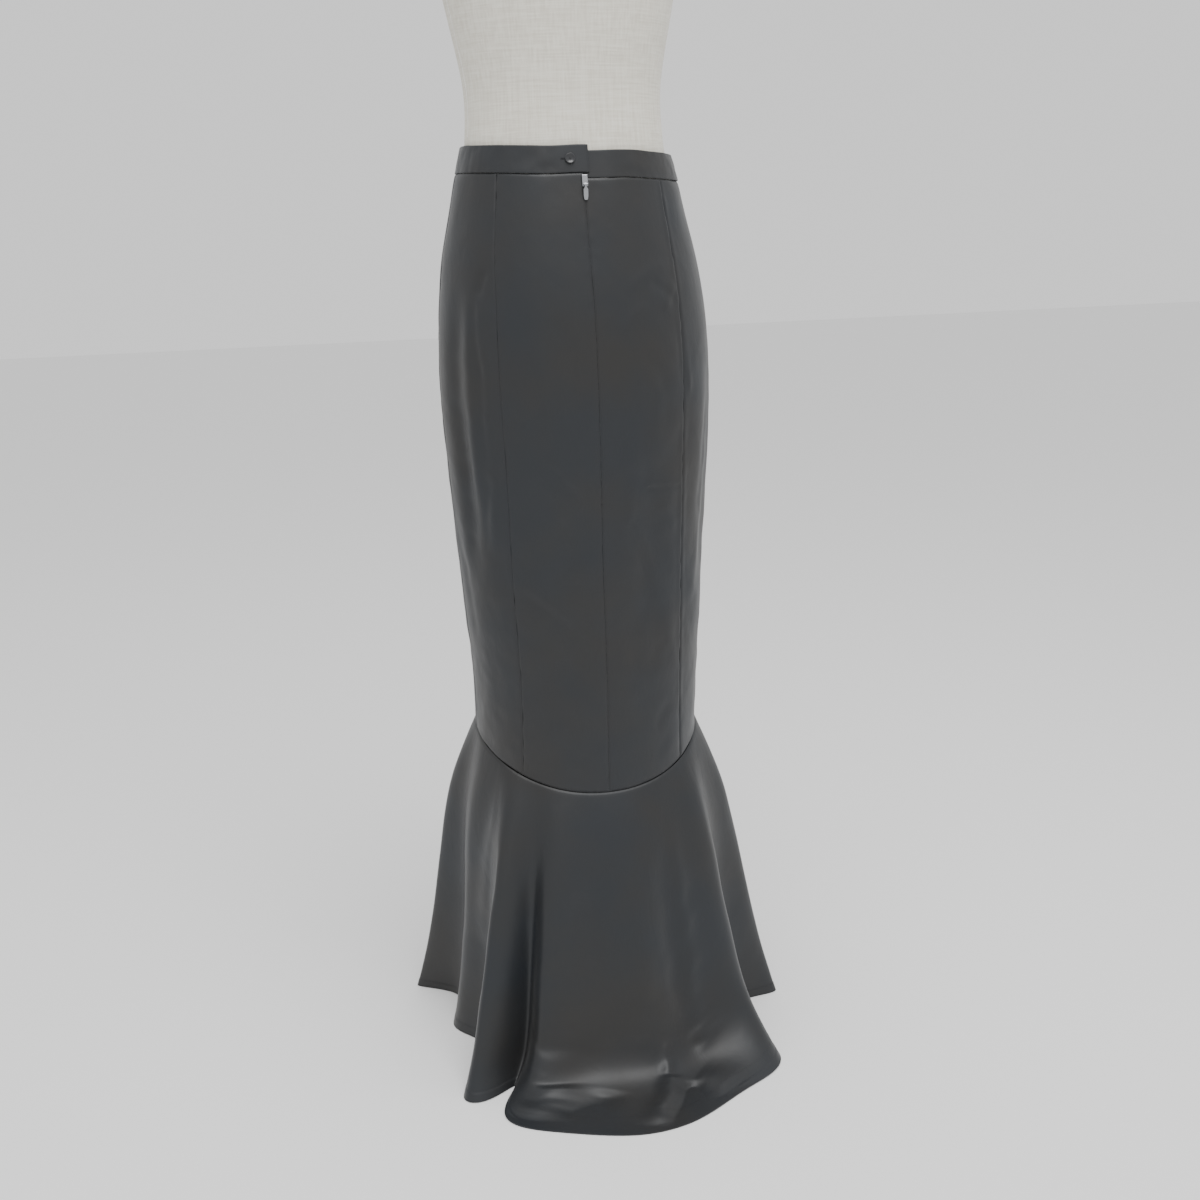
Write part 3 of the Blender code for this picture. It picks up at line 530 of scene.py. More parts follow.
    def flounce(self, degrees: Array, share: Array) -> Array:
        """A point on the flounce's outer face: share is 0 at its seam and 1 at its hem."""
        degrees, share = np.broadcast_arrays(np.asarray(degrees, float), np.asarray(share, float))
        seam = self.skirt(degrees, self.flounce_seam(degrees) - self.seam_gap / 2)
        knee, hem = self.knees(degrees), self.hems(degrees)
        outward = (knee - seam) * (1, 1, 0)
        outward = outward / np.linalg.norm(outward, axis=-1, keepdims=True) * self.springs(degrees)[..., None]
        points = (
            seam,
            seam + (knee - seam) * 0.20 + outward,
            seam + (knee - seam) * 0.50 + outward * 0.5,
            seam + (knee - seam) * 0.84,
            knee + (hem - knee) * 0.10,
            knee + (hem - knee) * 0.55,
            hem,
        )
        return sum(w[..., None] * p for w, p in zip(self.weights(len(points), share), points))


# ------------------------------------------------------------------------------------------------------ meshes


def normals_of(grid: Array) -> Array:
    """Unit normals of a grid of points, which face away from the body."""
    down, across = np.gradient(grid, axis=0), np.gradient(grid, axis=1)
    normal = np.cross(across, down)
    normal /= np.linalg.norm(normal, axis=-1, keepdims=True) + 1e-12
    return normal if (grid[..., :2] * normal[..., :2]).sum() > 0 else -normal


def lengths_along(grid: Array, axis: int) -> Array:
    """Distance of each point of a grid from its first row or column, along the cloth."""
    steps = np.linalg.norm(np.diff(grid, axis=axis), axis=-1)
    first = np.zeros_like(np.take(steps, [0], axis=axis))
    return np.concatenate([first, np.cumsum(steps, axis=axis)], axis=axis)


@dataclass
class MeshMaker:
    """Makes plain mesh objects round the form's pole, at the origin and unturned."""

    pole: Vector

    def link(self, name: str, mesh: bpy.types.Mesh, sharp_deg: float = 40) -> bpy.types.Object:
        """Makes an object of the mesh, with smooth shading."""
        mesh.shade_smooth()
        mesh.set_sharp_from_angle(angle=math.radians(sharp_deg))
        obj = bpy.data.objects.new(name, mesh)
        bpy.context.scene.collection.objects.link(obj)
        return obj

    def shell(self, name: str, outer: Array, inner: Array, uv: Array) -> bpy.types.Object:
        """Makes a closed cloth wall from the grids of its two faces.

        Args:
            name: of the object.
            outer: points of the outer face, rows by columns.
            inner: points of the inner face, in the same order.
            uv: place of each point on the flat cloth, in metres.

        Returns:
            The object, with a UV map named "cloth".
        """
        rows, columns = outer.shape[:2]
        shift = np.array(self.pole)
        points = np.concatenate([outer.reshape(-1, 3), inner.reshape(-1, 3)]) + shift
        index = np.arange(rows * columns).reshape(rows, columns)
        a, b, c, d = index[:-1, :-1], index[:-1, 1:], index[1:, 1:], index[1:, :-1]
        front = np.stack([a, b, c, d], -1).reshape(-1, 4)
        back = np.stack([a, d, c, b], -1).reshape(-1, 4) + rows * columns
        ring = np.concatenate([index[0, :-1], index[:-1, -1], index[-1, :0:-1], index[:0:-1, 0]])
        after = np.roll(ring, -1)
        rim = np.stack([after, ring, ring + rows * columns, after + rows * columns], -1)
        faces = np.concatenate([front, back, rim])
        corner = outer[1, 0] - outer[0, 0]
        beside = outer[0, 1] - outer[0, 0]
        facing = np.dot(np.cross(beside, corner), normals_of(outer)[0, 0])
        if facing < 0:
            faces = faces[:, ::-1]
        mesh = bpy.data.meshes.new(name)
        mesh.from_pydata(points.tolist(), [], faces.tolist())
        layer = mesh.uv_layers.new(name="cloth")
        flat = np.concatenate([uv.reshape(-1, 2), uv.reshape(-1, 2)])
        layer.data.foreach_set("uv", flat[faces.reshape(-1)].astype(np.float32).reshape(-1))
        mesh.update()
        return self.link(name, mesh)

    def swept(self, name: str, sections: Array, uv: Array) -> bpy.types.Object:
        """Makes a closed solid from closed sections in a row, with its two ends capped.

        Args:
            name: of the object.
            sections: points, sections by corners.
            uv: place of each point on the flat cloth, in metres.

        Returns:
            The object, with a UV map named "cloth".
        """
        count, corners = sections.shape[:2]
        points = sections.reshape(-1, 3) + np.array(self.pole)
        faces = []
        for i in range(count - 1):
            for j in range(corners):
                k = (j + 1) % corners
                faces.append((i * corners + j, i * corners + k, (i + 1) * corners + k, (i + 1) * corners + j))
        faces.append(tuple(range(corners))[::-1])
        faces.append(tuple((count - 1) * corners + j for j in range(corners)))
        mesh = bpy.data.meshes.new(name)
        mesh.from_pydata(points.tolist(), [], faces)
        flat = uv.reshape(-1, 2)
        layer = mesh.uv_layers.new(name="cloth")
        for loop in mesh.loops:
            layer.data[loop.index].uv = flat[loop.vertex_index]
        self.face_out(mesh)
        return self.link(name, mesh)

    @staticmethod
    def face_out(mesh: bpy.types.Mesh) -> None:
        """Turns every face of a closed mesh outwards."""
        bm = bmesh.new()
        bm.from_mesh(mesh)
        bmesh.ops.recalc_face_normals(bm, faces=bm.faces[:])
        bm.to_mesh(mesh)
        bm.free()
        mesh.update()

    def lathe(self, name: str, profile: Sequence[tuple[float, float]], sides: int, place: Matrix) -> bpy.types.Object:
        """Makes a turned solid.

        Args:
            name: of the object.
            profile: (radius, height) from the middle below to the middle above.
            sides: corners round it.
            place: where its axis, z, goes.

        Returns:
            The object.
        """
        points: list[tuple[float, float, float]] = []
        rings: list[list[int]] = []
        for radius, height in profile:
            around = sides if radius else 1
            rings.append(list(range(len(points), len(points) + around)))
            for i in range(around):
                angle = 2 * math.pi * i / around
                points.append((radius * math.cos(angle), radius * math.sin(angle), height))
        faces = []
        for lower, upper in zip(rings, rings[1:]):
            for i in range(sides):
                k = (i + 1) % sides
                face = [lower[i % len(lower)], lower[k % len(lower)], upper[k % len(upper)], upper[i % len(upper)]]
                faces.append(list(dict.fromkeys(face)))
        mesh = bpy.data.meshes.new(name)
        mesh.from_pydata([place @ Vector(p) for p in points], [], faces)
        self.face_out(mesh)
        return self.link(name, mesh)


# --------------------------------------------------------------------------------------------------- materials


class Nodes:
    """A short way to lay out a material's nodes."""

    def __init__(self, name: str) -> None:
        """Makes the material with an empty Principled shader.

        Args:
            name: of the material.
        """
        self.material = bpy.data.materials.new(name)
        self.material.use_nodes = True
        self.tree = self.material.node_tree
        self.shader = self.tree.nodes["Principled BSDF"]

    def add(self, kind: str, inputs: dict | None = None, **settings: object) -> bpy.types.Node:
        """Adds a node.

        Args:
            kind: its type's name, without ShaderNode.
            inputs: values or output sockets by input name or number.
            settings: the node's own properties.

        Returns:
            The node.
        """
        node = self.tree.nodes.new(f"ShaderNode{kind}")
        for key, value in settings.items():
            setattr(node, key, value)
        for key, value in (inputs or {}).items():
            self.put(node, key, value)
        return node

    def put(self, node: bpy.types.Node, key: str | int, value: object) -> None:
        """Sets an input to a value, or links an output socket to it."""
        if isinstance(value, bpy.types.NodeSocket):
            self.tree.links.new(value, node.inputs[key])
        else:
            node.inputs[key].default_value = value

    def shade(self, inputs: dict) -> None:
        """Sets or links inputs of the Principled shader."""
        for key, value in inputs.items():
            self.put(self.shader, key, value)

    def mapped(self, source: str, scale: tuple[float, float, float]) -> bpy.types.NodeSocket:
        """Coordinates of the named kind, scaled."""
        place = self.add("TexCoord")
        return self.add("Mapping", {"Vector": place.outputs[source], "Scale": scale}).outputs[0]

    def noise(
        self, vector: bpy.types.NodeSocket, scale: float, detail: float = 3, rough: float = 0.5, warp: float = 0
    ) -> bpy.types.NodeSocket:
        """A noise pattern's value, from 0 to 1."""
        inputs = {"Vector": vector, "Scale": scale, "Detail": detail, "Roughness": rough, "Distortion": warp}
        return self.add("TexNoise", inputs).outputs[0]

    def ramp(
        self, value: bpy.types.NodeSocket, stops: Sequence[tuple[float, tuple[float, float, float]]]
    ) -> bpy.types.NodeSocket:
        """Turns a value into a colour by the stops given."""
        node = self.add("ValToRGB", {0: value})
        elements = node.color_ramp.elements
        while len(elements) < len(stops):
            elements.new(0.5)
        for element, (position, colour) in zip(elements, stops):
            element.position = position
            element.color = (*colour, 1)
        return node.outputs[0]

    def spread(self, value: bpy.types.NodeSocket, low: float, high: float) -> bpy.types.NodeSocket:
        """A value between 0 and 1 brought between two others."""
        return self.add("MapRange", {0: value, 3: low, 4: high}).outputs[0]

    def bump(
        self,
        height: bpy.types.NodeSocket,
        strength: float,
        distance: float,
        normal: bpy.types.NodeSocket | None = None,
    ) -> bpy.types.NodeSocket:
        """A bumped normal."""
        inputs = {"Height": height, "Strength": strength, "Distance": distance}
        if normal is not None:
            inputs["Normal"] = normal
        return self.add("Bump", inputs).outputs[0]


@dataclass(frozen=True)
class Satin:
    """Black satin: a close weave with long floats, a soft broad sheen and a fine crumple."""

    name: str
    cool: tuple[float, float, float] = (0.0125, 0.0150, 0.0185)
    warm: tuple[float, float, float] = (0.0170, 0.0165, 0.0160)
    roughness: tuple[float, float] = (0.40, 0.50)
    crumple: float = 0.22

    def build(self) -> bpy.types.Material:
        """Makes the material."""
        n = Nodes(self.name)
        place = n.mapped("Object", (1, 1, 1))
        cloth = n.mapped("UV", (1, 1, 1))
        cloud = n.noise(place, 7, 3, 0.55)
        colour = n.ramp(cloud, ((0.35, self.cool), (0.65, self.warm)))
        slanted = n.mapped("UV", (1.0, 0.55, 1.0))
        hills = n.noise(slanted, 55, 4, 0.55, 0.6)
        threads = n.add(
            "TexWave",
            {"Vector": cloth, "Scale": 900.0, "Distortion": 1.5, "Detail": 1.0, "Detail Scale": 0.4},
            wave_type="BANDS",
            bands_direction="Y",
        ).outputs[1]
        normal = n.bump(hills, self.crumple, 0.002)
        normal = n.bump(threads, 0.05, 0.0001, normal)
        rough = n.spread(n.noise(place, 30, 4, 0.6), *self.roughness)
        n.shade({"Base Color": colour, "Roughness": rough, "Normal": normal, "Specular IOR Level": 0.42})
        n.shade({"Sheen Weight": 0.06, "Sheen Roughness": 0.45})
        return n.material


@dataclass(frozen=True)
class Linen:
    """Undyed linen: thick and thin threads both ways."""

    name: str
    light: tuple[float, float, float] = (0.72, 0.70, 0.62)
    dark: tuple[float, float, float] = (0.60, 0.57, 0.49)

    def build(self) -> bpy.types.Material:
        """Makes the material."""
        n = Nodes(self.name)
        upright = n.noise(n.mapped("Object", (1, 1, 0.035)), 420, 3, 0.6)
        level = n.noise(n.mapped("Object", (0.05, 0.05, 1)), 520, 3, 0.6)
        both = n.add("Math", {0: upright, 1: level}, operation="ADD").outputs[0]
        half = n.add("Math", {0: both, 1: 0.5}, operation="MULTIPLY").outputs[0]
        colour = n.ramp(half, ((0.38, self.dark), (0.60, self.light)))
        normal = n.bump(half, 0.25, 0.0006)
        n.shade({"Base Color": colour, "Roughness": 0.9, "Normal": normal, "Specular IOR Level": 0.2})
        n.shade({"Sheen Weight": 0.15, "Sheen Roughness": 0.5})
        return n.material


@dataclass(frozen=True)
class Plain:
    """A hard or matt finish with a little unevenness in its gloss and surface."""

    name: str
    colour: tuple[float, float, float]
    rough: tuple[float, float]
    metallic: float = 0.0
    grain: float = 60.0
    bump: float = 0.05
    coat: float = 0.0

    def build(self) -> bpy.types.Material:
        """Makes the material."""
        n = Nodes(self.name)
        place = n.mapped("Object", (1, 1, 1))
        cloud = n.noise(place, self.grain, 3, 0.6)
        darker = tuple(c * 0.82 for c in self.colour)
        n.shade({"Base Color": n.ramp(cloud, ((0.3, darker), (0.7, self.colour)))})
        n.shade({"Roughness": n.spread(cloud, *self.rough), "Metallic": self.metallic})
        n.shade({"Normal": n.bump(n.noise(place, self.grain * 12, 2), self.bump, 0.0003), "Coat Weight": self.coat})
        return n.material


@dataclass(frozen=True)
class Wood:
    """Turned wood with long grain."""

    name: str
    light: tuple[float, float, float] = (0.36, 0.20, 0.095)
    dark: tuple[float, float, float] = (0.17, 0.085, 0.038)

    def build(self) -> bpy.types.Material:
        """Makes the material."""
        n = Nodes(self.name)
        grain = n.noise(n.mapped("Object", (1, 0.12, 1)), 120, 5, 0.6, 0.8)
        n.shade({"Base Color": n.ramp(grain, ((0.35, self.dark), (0.65, self.light))), "Coat Weight": 0.3})
        n.shade({"Roughness": n.spread(grain, 0.32, 0.48), "Normal": n.bump(grain, 0.12, 0.0004)})
        return n.material


# ------------------------------------------------------------------------------------------------ sub-assemblies


def settle(piece: bpy.types.Object, node: str = "") -> None:
    """Puts a finished piece on the skirt's body.

    Args:
        piece: the mesh object.
        node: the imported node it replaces, if it does.
    """
    if node:
        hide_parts(node)
    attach(piece, BODY)


def refinish(frame: dict, node: str, material: bpy.types.Material) -> None:
    """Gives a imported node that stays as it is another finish."""
    mesh = frame["nodes"][node].data
    mesh.materials.clear()
    mesh.materials.append(material)


@dataclass
class Stitches:
    """Rows of sewn stitches, made by Geometry Nodes along a path."""

    length: float = 0.0026
    width: float = 0.00045
    spacing: float = 0.0034

    def tree(self, name: str, material: bpy.types.Material) -> bpy.types.NodeTree:
        """Builds the node tree.

        Args:
            name: of the tree.
            material: of the thread.

        Returns:
            The tree, with inputs named Stitch Length, Stitch Width and Spacing.
        """
        tree = bpy.data.node_groups.new(name, "GeometryNodeTree")
        tree.interface.new_socket("Geometry", in_out="INPUT", socket_type="NodeSocketGeometry")
        for label, value in (("Stitch Length", self.length), ("Stitch Width", self.width), ("Spacing", self.spacing)):
            socket = tree.interface.new_socket(label, in_out="INPUT", socket_type="NodeSocketFloat")
            socket.default_value = value
        tree.interface.new_socket("Geometry", in_out="OUTPUT", socket_type="NodeSocketGeometry")
        nodes, links = tree.nodes, tree.links
        start, end = nodes.new("NodeGroupInput"), nodes.new("NodeGroupOutput")
        curve = nodes.new("GeometryNodeMeshToCurve")
        sample = nodes.new("GeometryNodeResampleCurve")
        sample.mode = "LENGTH"
        points = nodes.new("GeometryNodeCurveToPoints")
        points.mode = "EVALUATED"
        ball = nodes.new("GeometryNodeMeshIcoSphere")
        ball.inputs["Radius"].default_value = 0.5
        ball.inputs["Subdivisions"].default_value = 1
        size = nodes.new("ShaderNodeCombineXYZ")
        shape = nodes.new("GeometryNodeTransform")
        place = nodes.new("GeometryNodeInstanceOnPoints")
        real = nodes.new("GeometryNodeRealizeInstances")
        smooth = nodes.new("GeometryNodeSetShadeSmooth")
        paint = nodes.new("GeometryNodeSetMaterial")
        paint.inputs["Material"].default_value = material
        links.new(start.outputs[0], curve.inputs[0])
        links.new(curve.outputs[0], sample.inputs["Curve"])
        links.new(start.outputs["Spacing"], sample.inputs["Length"])
        links.new(sample.outputs[0], points.inputs[0])
        links.new(start.outputs["Stitch Width"], size.inputs[0])
        links.new(start.outputs["Stitch Width"], size.inputs[1])
        links.new(start.outputs["Stitch Length"], size.inputs[2])
        links.new(ball.outputs["Mesh"], shape.inputs["Geometry"])
        links.new(size.outputs[0], shape.inputs["Scale"])
        links.new(points.outputs["Points"], place.inputs["Points"])
        links.new(points.outputs["Rotation"], place.inputs["Rotation"])
        links.new(shape.outputs[0], place.inputs["Instance"])
        links.new(place.outputs[0], real.inputs[0])
        links.new(real.outputs[0], smooth.inputs[0])
        links.new(smooth.outputs[0], paint.inputs["Geometry"])
        links.new(paint.outputs[0], end.inputs[0])
        return tree

    def sew(self, name: str, paths: Sequence[Array], material: bpy.types.Material) -> bpy.types.Object:
        """Makes one mesh of the stitches along the paths.

        Args:
            name: of the object.
            paths: lines of points in the scene's frame.
            material: of the thread.

        Returns:
            A plain mesh object at the origin.
        """
        points = np.concatenate(paths)
        edges, first = [], 0
        for path in paths:
            edges += [(first + i, first + i + 1) for i in range(len(path) - 1)]
            first += len(path)
        line = bpy.data.meshes.new(f"{name}_line")
        line.from_pydata(points.tolist(), edges, [])
        guide = bpy.data.objects.new(f"{name}_guide", line)
        bpy.context.scene.collection.objects.link(guide)
        modifier = guide.modifiers.new("stitches", "NODES")
        modifier.node_group = self.tree(f"{name}_tree", material)
        sizes = {"Stitch Length": self.length, "Stitch Width": self.width, "Spacing": self.spacing}
        for item in modifier.node_group.interface.items_tree:
            if item.in_out == "INPUT" and item.name in sizes:
                modifier[item.identifier] = sizes[item.name]
        bpy.context.view_layer.update()
        seen = guide.evaluated_get(bpy.context.evaluated_depsgraph_get())
        mesh = bpy.data.meshes.new_from_object(seen)
        bpy.data.objects.remove(guide, do_unlink=True)
        mesh.name = name
        obj = bpy.data.objects.new(name, mesh)
        bpy.context.scene.collection.objects.link(obj)
        return obj


@dataclass(frozen=True)
class PanelCut:
    """One cut piece of the upper skirt: its seams, and its flat size with seam allowances left out."""

    node: str
    start: float
    end: float
    flat: tuple[float, float]
    area: float


@dataclass
class UpperSkirt:
    """The seven fitted panels."""

    shape: SkirtShape
    maker: MeshMaker
    satin: bpy.types.Material
    wall: float = 0.0012
    column_step: float = 0.0026
    rows: int = 215
    seam_roll: float = 0.0009  # how far a seam's edges turn in
    seam_width: float = 0.0016
    cuts: tuple[PanelCut, ...] = (
        PanelCut("back_left", 0, 45.5, (0.120, 0.715), 0.075),
        PanelCut("back_right", -45.5, 0, (0.120, 0.710), 0.074),
        PanelCut("side_back_left", 45.5, 90, (0.115, 0.700), 0.070),
        PanelCut("side_back_right", -90, -45.5, (0.115, 0.690), 0.069),
        PanelCut("side_front_left", 90, 137, (0.105, 0.660), 0.062),
        PanelCut("side_front_right", -137, -90, (0.105, 0.650), 0.061),
        PanelCut("front", 137, 223, (0.235, 0.640), 0.137),
    )

    def seam_deg(self, nominal: float, z: Array) -> Array:
        """Where a panel's seam runs at each height."""
        if abs(nominal) == PRINCESS_DEG:
            return math.copysign(1, nominal) * self.shape.princess(z)
        return nominal + 0 * z

    def grid(self, cut: PanelCut) -> tuple[Array, Array, Array]:
        """Angles and heights of a panel's points, and each point's distance from the nearest edge."""
        width = math.radians(cut.end - cut.start) * 0.145
        columns = max(12, round(width / self.column_step))
        fine = np.array([0, 0.0004, 0.0009, 0.0015, 0.0023]) / width
        across = np.concatenate([fine, np.linspace(0.0036 / width, 1 - 0.0036 / width, columns), 1 - fine[::-1]])
        height = 0.70
        fine = np.array([0, 0.0004, 0.0009, 0.0015, 0.0023]) / height
        down = np.concatenate([fine, np.linspace(0.0036 / height, 1 - 0.0036 / height, self.rows), 1 - fine[::-1]])
        nominal = cut.start + (cut.end - cut.start) * across
        top = self.shape.panel_top(nominal) - self.shape.seam_gap
        foot = self.shape.flounce_seam(nominal) + self.shape.seam_gap / 2
        z = top + (foot - top) * down[:, None]
        hair = math.degrees(0.00006 / 0.12)
        low, high = self.seam_deg(cut.start, z) + hair, self.seam_deg(cut.end, z) - hair
        degrees = low + (high - low) * across
        edge = np.minimum(np.minimum(across, 1 - across) * width, (np.minimum(down, 1 - down) * height)[:, None])
        return degrees, z, edge

    def build_panel(self, cut: PanelCut) -> bpy.types.Object:
        """Makes one panel with its creases and its rolled seam edges."""
        degrees, z, edge = self.grid(cut)
        out = self.shape.crease_height(degrees, z)
        pucker = self.shape.crumple[3](z / 0.010 + cut.start, degrees / 9.0)
        out = out * soft_step(0, 0.010, edge) + 0.00030 * pucker * np.exp(-((edge / 0.007) ** 2))
        out = out - self.seam_roll * np.exp(-((edge / self.seam_width) ** 2))
        outer = self.shape.skirt(degrees, z, out)
        inner = outer - normals_of(outer) * self.wall
        uv = np.stack([lengths_along(outer, 1), lengths_along(outer, 0)], -1)
        obj = self.maker.shell(f"{cut.node}_cloth", outer, inner, uv)
        obj.data.materials.append(self.satin)
        settle(obj, cut.node)
        return obj

    def build(self) -> None:
        """Makes every panel."""
        for cut in self.cuts:
            obj = self.build_panel(cut)
            LOG.info("%s: %d faces", obj.name, len(obj.data.polygons))


@dataclass(frozen=True)
class FlounceCut:
    """One cut piece of the flounce."""

    node: str
    start: float
    end: float
    columns: int
    rows: int
    flat: tuple[float, float]
    area: float


@dataclass
class Flounce:
    """The flared lower pieces, with the train."""

    shape: SkirtShape
    maker: MeshMaker
    satin: bpy.types.Material
    thread: bpy.types.Material
    wall: float = 0.0013
    hem_groove: float = 0.0003
    cuts: tuple[FlounceCut, ...] = (
        FlounceCut("flounce_back", -90, 86, 330, 118, (0.95, 0.47), 0.250),
        FlounceCut("flounce_front", 86, 270, 330, 100, (1.05, 0.44), 0.235),
    )

    def build_piece(self, cut: FlounceCut) -> bpy.types.Object:
        """Makes one piece with its creases, its hem and the hem's stitches."""
        angles = np.linspace(cut.start + 0.02, cut.end - 0.02, cut.columns)
        fine = np.array([0, 0.0010, 0.0022, 0.0038])
        tail = 1 - np.linspace(0.036, 0, 12)
        share = np.concatenate([fine, np.linspace(0.008, tail[0], cut.rows)[:-1], tail])
        degrees, share = np.broadcast_arrays(angles, share[:, None])
        base = self.shape.flounce(degrees, share)
        normal = normals_of(base)
        out = np.zeros(degrees.shape)
        for crease in FLOUNCE_CREASES:
            out = out + crease.height(degrees, share, FLOUNCE_RADIUS, FLOUNCE_DEPTH, self.shape.wander)
        length = lengths_along(base, 0)
        from_hem = length[-1] - length
        fade = soft_step(0, 0.03, length)
        fine_noise = self.shape.crumple[0](np.radians(degrees) * 0.2 / 0.030, length / 0.045)
        out = out * fade + 0.0006 * fine_noise * fade
        out = out - 0.0009 * np.exp(-((length / 0.0016) ** 2))
        turn = from_hem - self.shape.hem_turn
        out = out - self.hem_groove * np.exp(-((turn / 0.0010) ** 2)) + 0.0004 * soft_step(0.0012, -0.0012, turn)
        outer = base + normal * out[..., None]
        inner = outer - normals_of(outer) * self.wall
        low = np.minimum(outer[..., 2], inner[..., 2])
        lift = np.clip(self.shape.floor_gap - low, 0, None)[..., None] * (0, 0, 1)
        outer, inner = outer + lift, inner + lift
        uv = np.stack([np.radians(degrees - cut.start) * 0.2, length], -1)
        obj = self.maker.shell(f"{cut.node}_cloth", outer, inner, uv)
        obj.data.materials.append(self.satin)
        settle(obj, cut.node)
        row = int(np.argmin(np.abs(turn[:, 0])))
        path = (outer + normals_of(outer) * 0.0001)[row] + np.array(self.maker.pole)
        seam = Stitches(0.0024, 0.00035, 0.0032).sew(f"{cut.node}_hem_stitches", [path], self.thread)
        settle(seam)
        return obj

    def build(self) -> None:
        """Makes both pieces."""
        for cut in self.cuts:
            obj = self.build_piece(cut)
            LOG.info("%s: %d faces", obj.name, len(obj.data.polygons))


@dataclass
class Waistband:
    """The straight band, doubled over at its top edge, that laps over itself at the centre back."""

    shape: SkirtShape
    maker: MeshMaker
    satin: bpy.types.Material
    wall: float = 0.0020
    proud: float = 0.0006
    sections: int = 420
    rounding: float = 0.0009

    def profile(self) -> list[tuple[float, float]]:
        """Corners of the band's section: share of its height from the top, and distance in from its face."""
        height, r = self.shape.band_height, self.rounding
        outer = [(r * (1 - math.cos(a)) / height, r * (1 - math.sin(a))) for a in np.linspace(0, math.pi / 2, 5)]
        body = [(share, 0.0) for share in np.linspace(0.08, 0.92, 13)]
        foot = [(1 - share, depth * 0.8) for share, depth in reversed(outer)]
        front = outer + body + foot
        inner = [(0.97, self.wall), (0.75, self.wall), (0.5, self.wall), (0.25, self.wall), (0.03, self.wall)]
        return front + inner

    def build(self) -> bpy.types.Object:
        """Makes the band."""
        shape = self.shape
        angles = np.linspace(shape.band_end_deg, 360 + shape.band_underlap_deg, self.sections)
        corners = self.profile()
        share = np.array([corner[0] for corner in corners])
        depth = np.array([corner[1] for corner in corners])
        degrees = np.repeat(angles[:, None], len(corners), 1)
        ends = np.minimum(angles - angles[0], angles[-1] - angles)
        roll = self.rounding * 0.7 * np.exp(-((ends / 0.35) ** 2))
        lie = 360 + shape.band_end_deg
        tuck = soft_step(lie - 12, lie - 2, degrees) * (self.wall + shape.seam_gap)
        wave = 0.00045 * shape.crumple[0](degrees / 9.0, share * 2.2 + 3)
        wave = wave + 0.0002 * shape.crumple[1](degrees / 3.1, share * 3)
        wave = wave * (1 - soft_step(lie - 20, lie - 12, degrees)) * soft_step(-2, 12, degrees)
        out = self.proud - tuck - depth + np.where(depth < self.wall, wave - roll[:, None], 0)
        z = shape.band_top(degrees) - shape.band_height * share
        z = z + 0.0004 * shape.crumple[2](degrees / 11.0, 0 * degrees) * (1 - share)
        half_width, back, front, middle_x = np.moveaxis(shape.sizes(z), -1, 0)
        x, y = shape.section(degrees, half_width + out, back + out, front + out)
        sections = np.stack([x + middle_x, y, z], -1)
        uv = np.stack([np.radians(degrees) * 0.12, share * shape.band_height + 0 * degrees], -1)
        obj = self.maker.swept("waistband_cloth", sections, uv)
        obj.data.materials.append(self.satin)
        settle(obj, "waistband")
        LOG.info("%s: %d faces", obj.name, len(obj.data.polygons))
        return obj


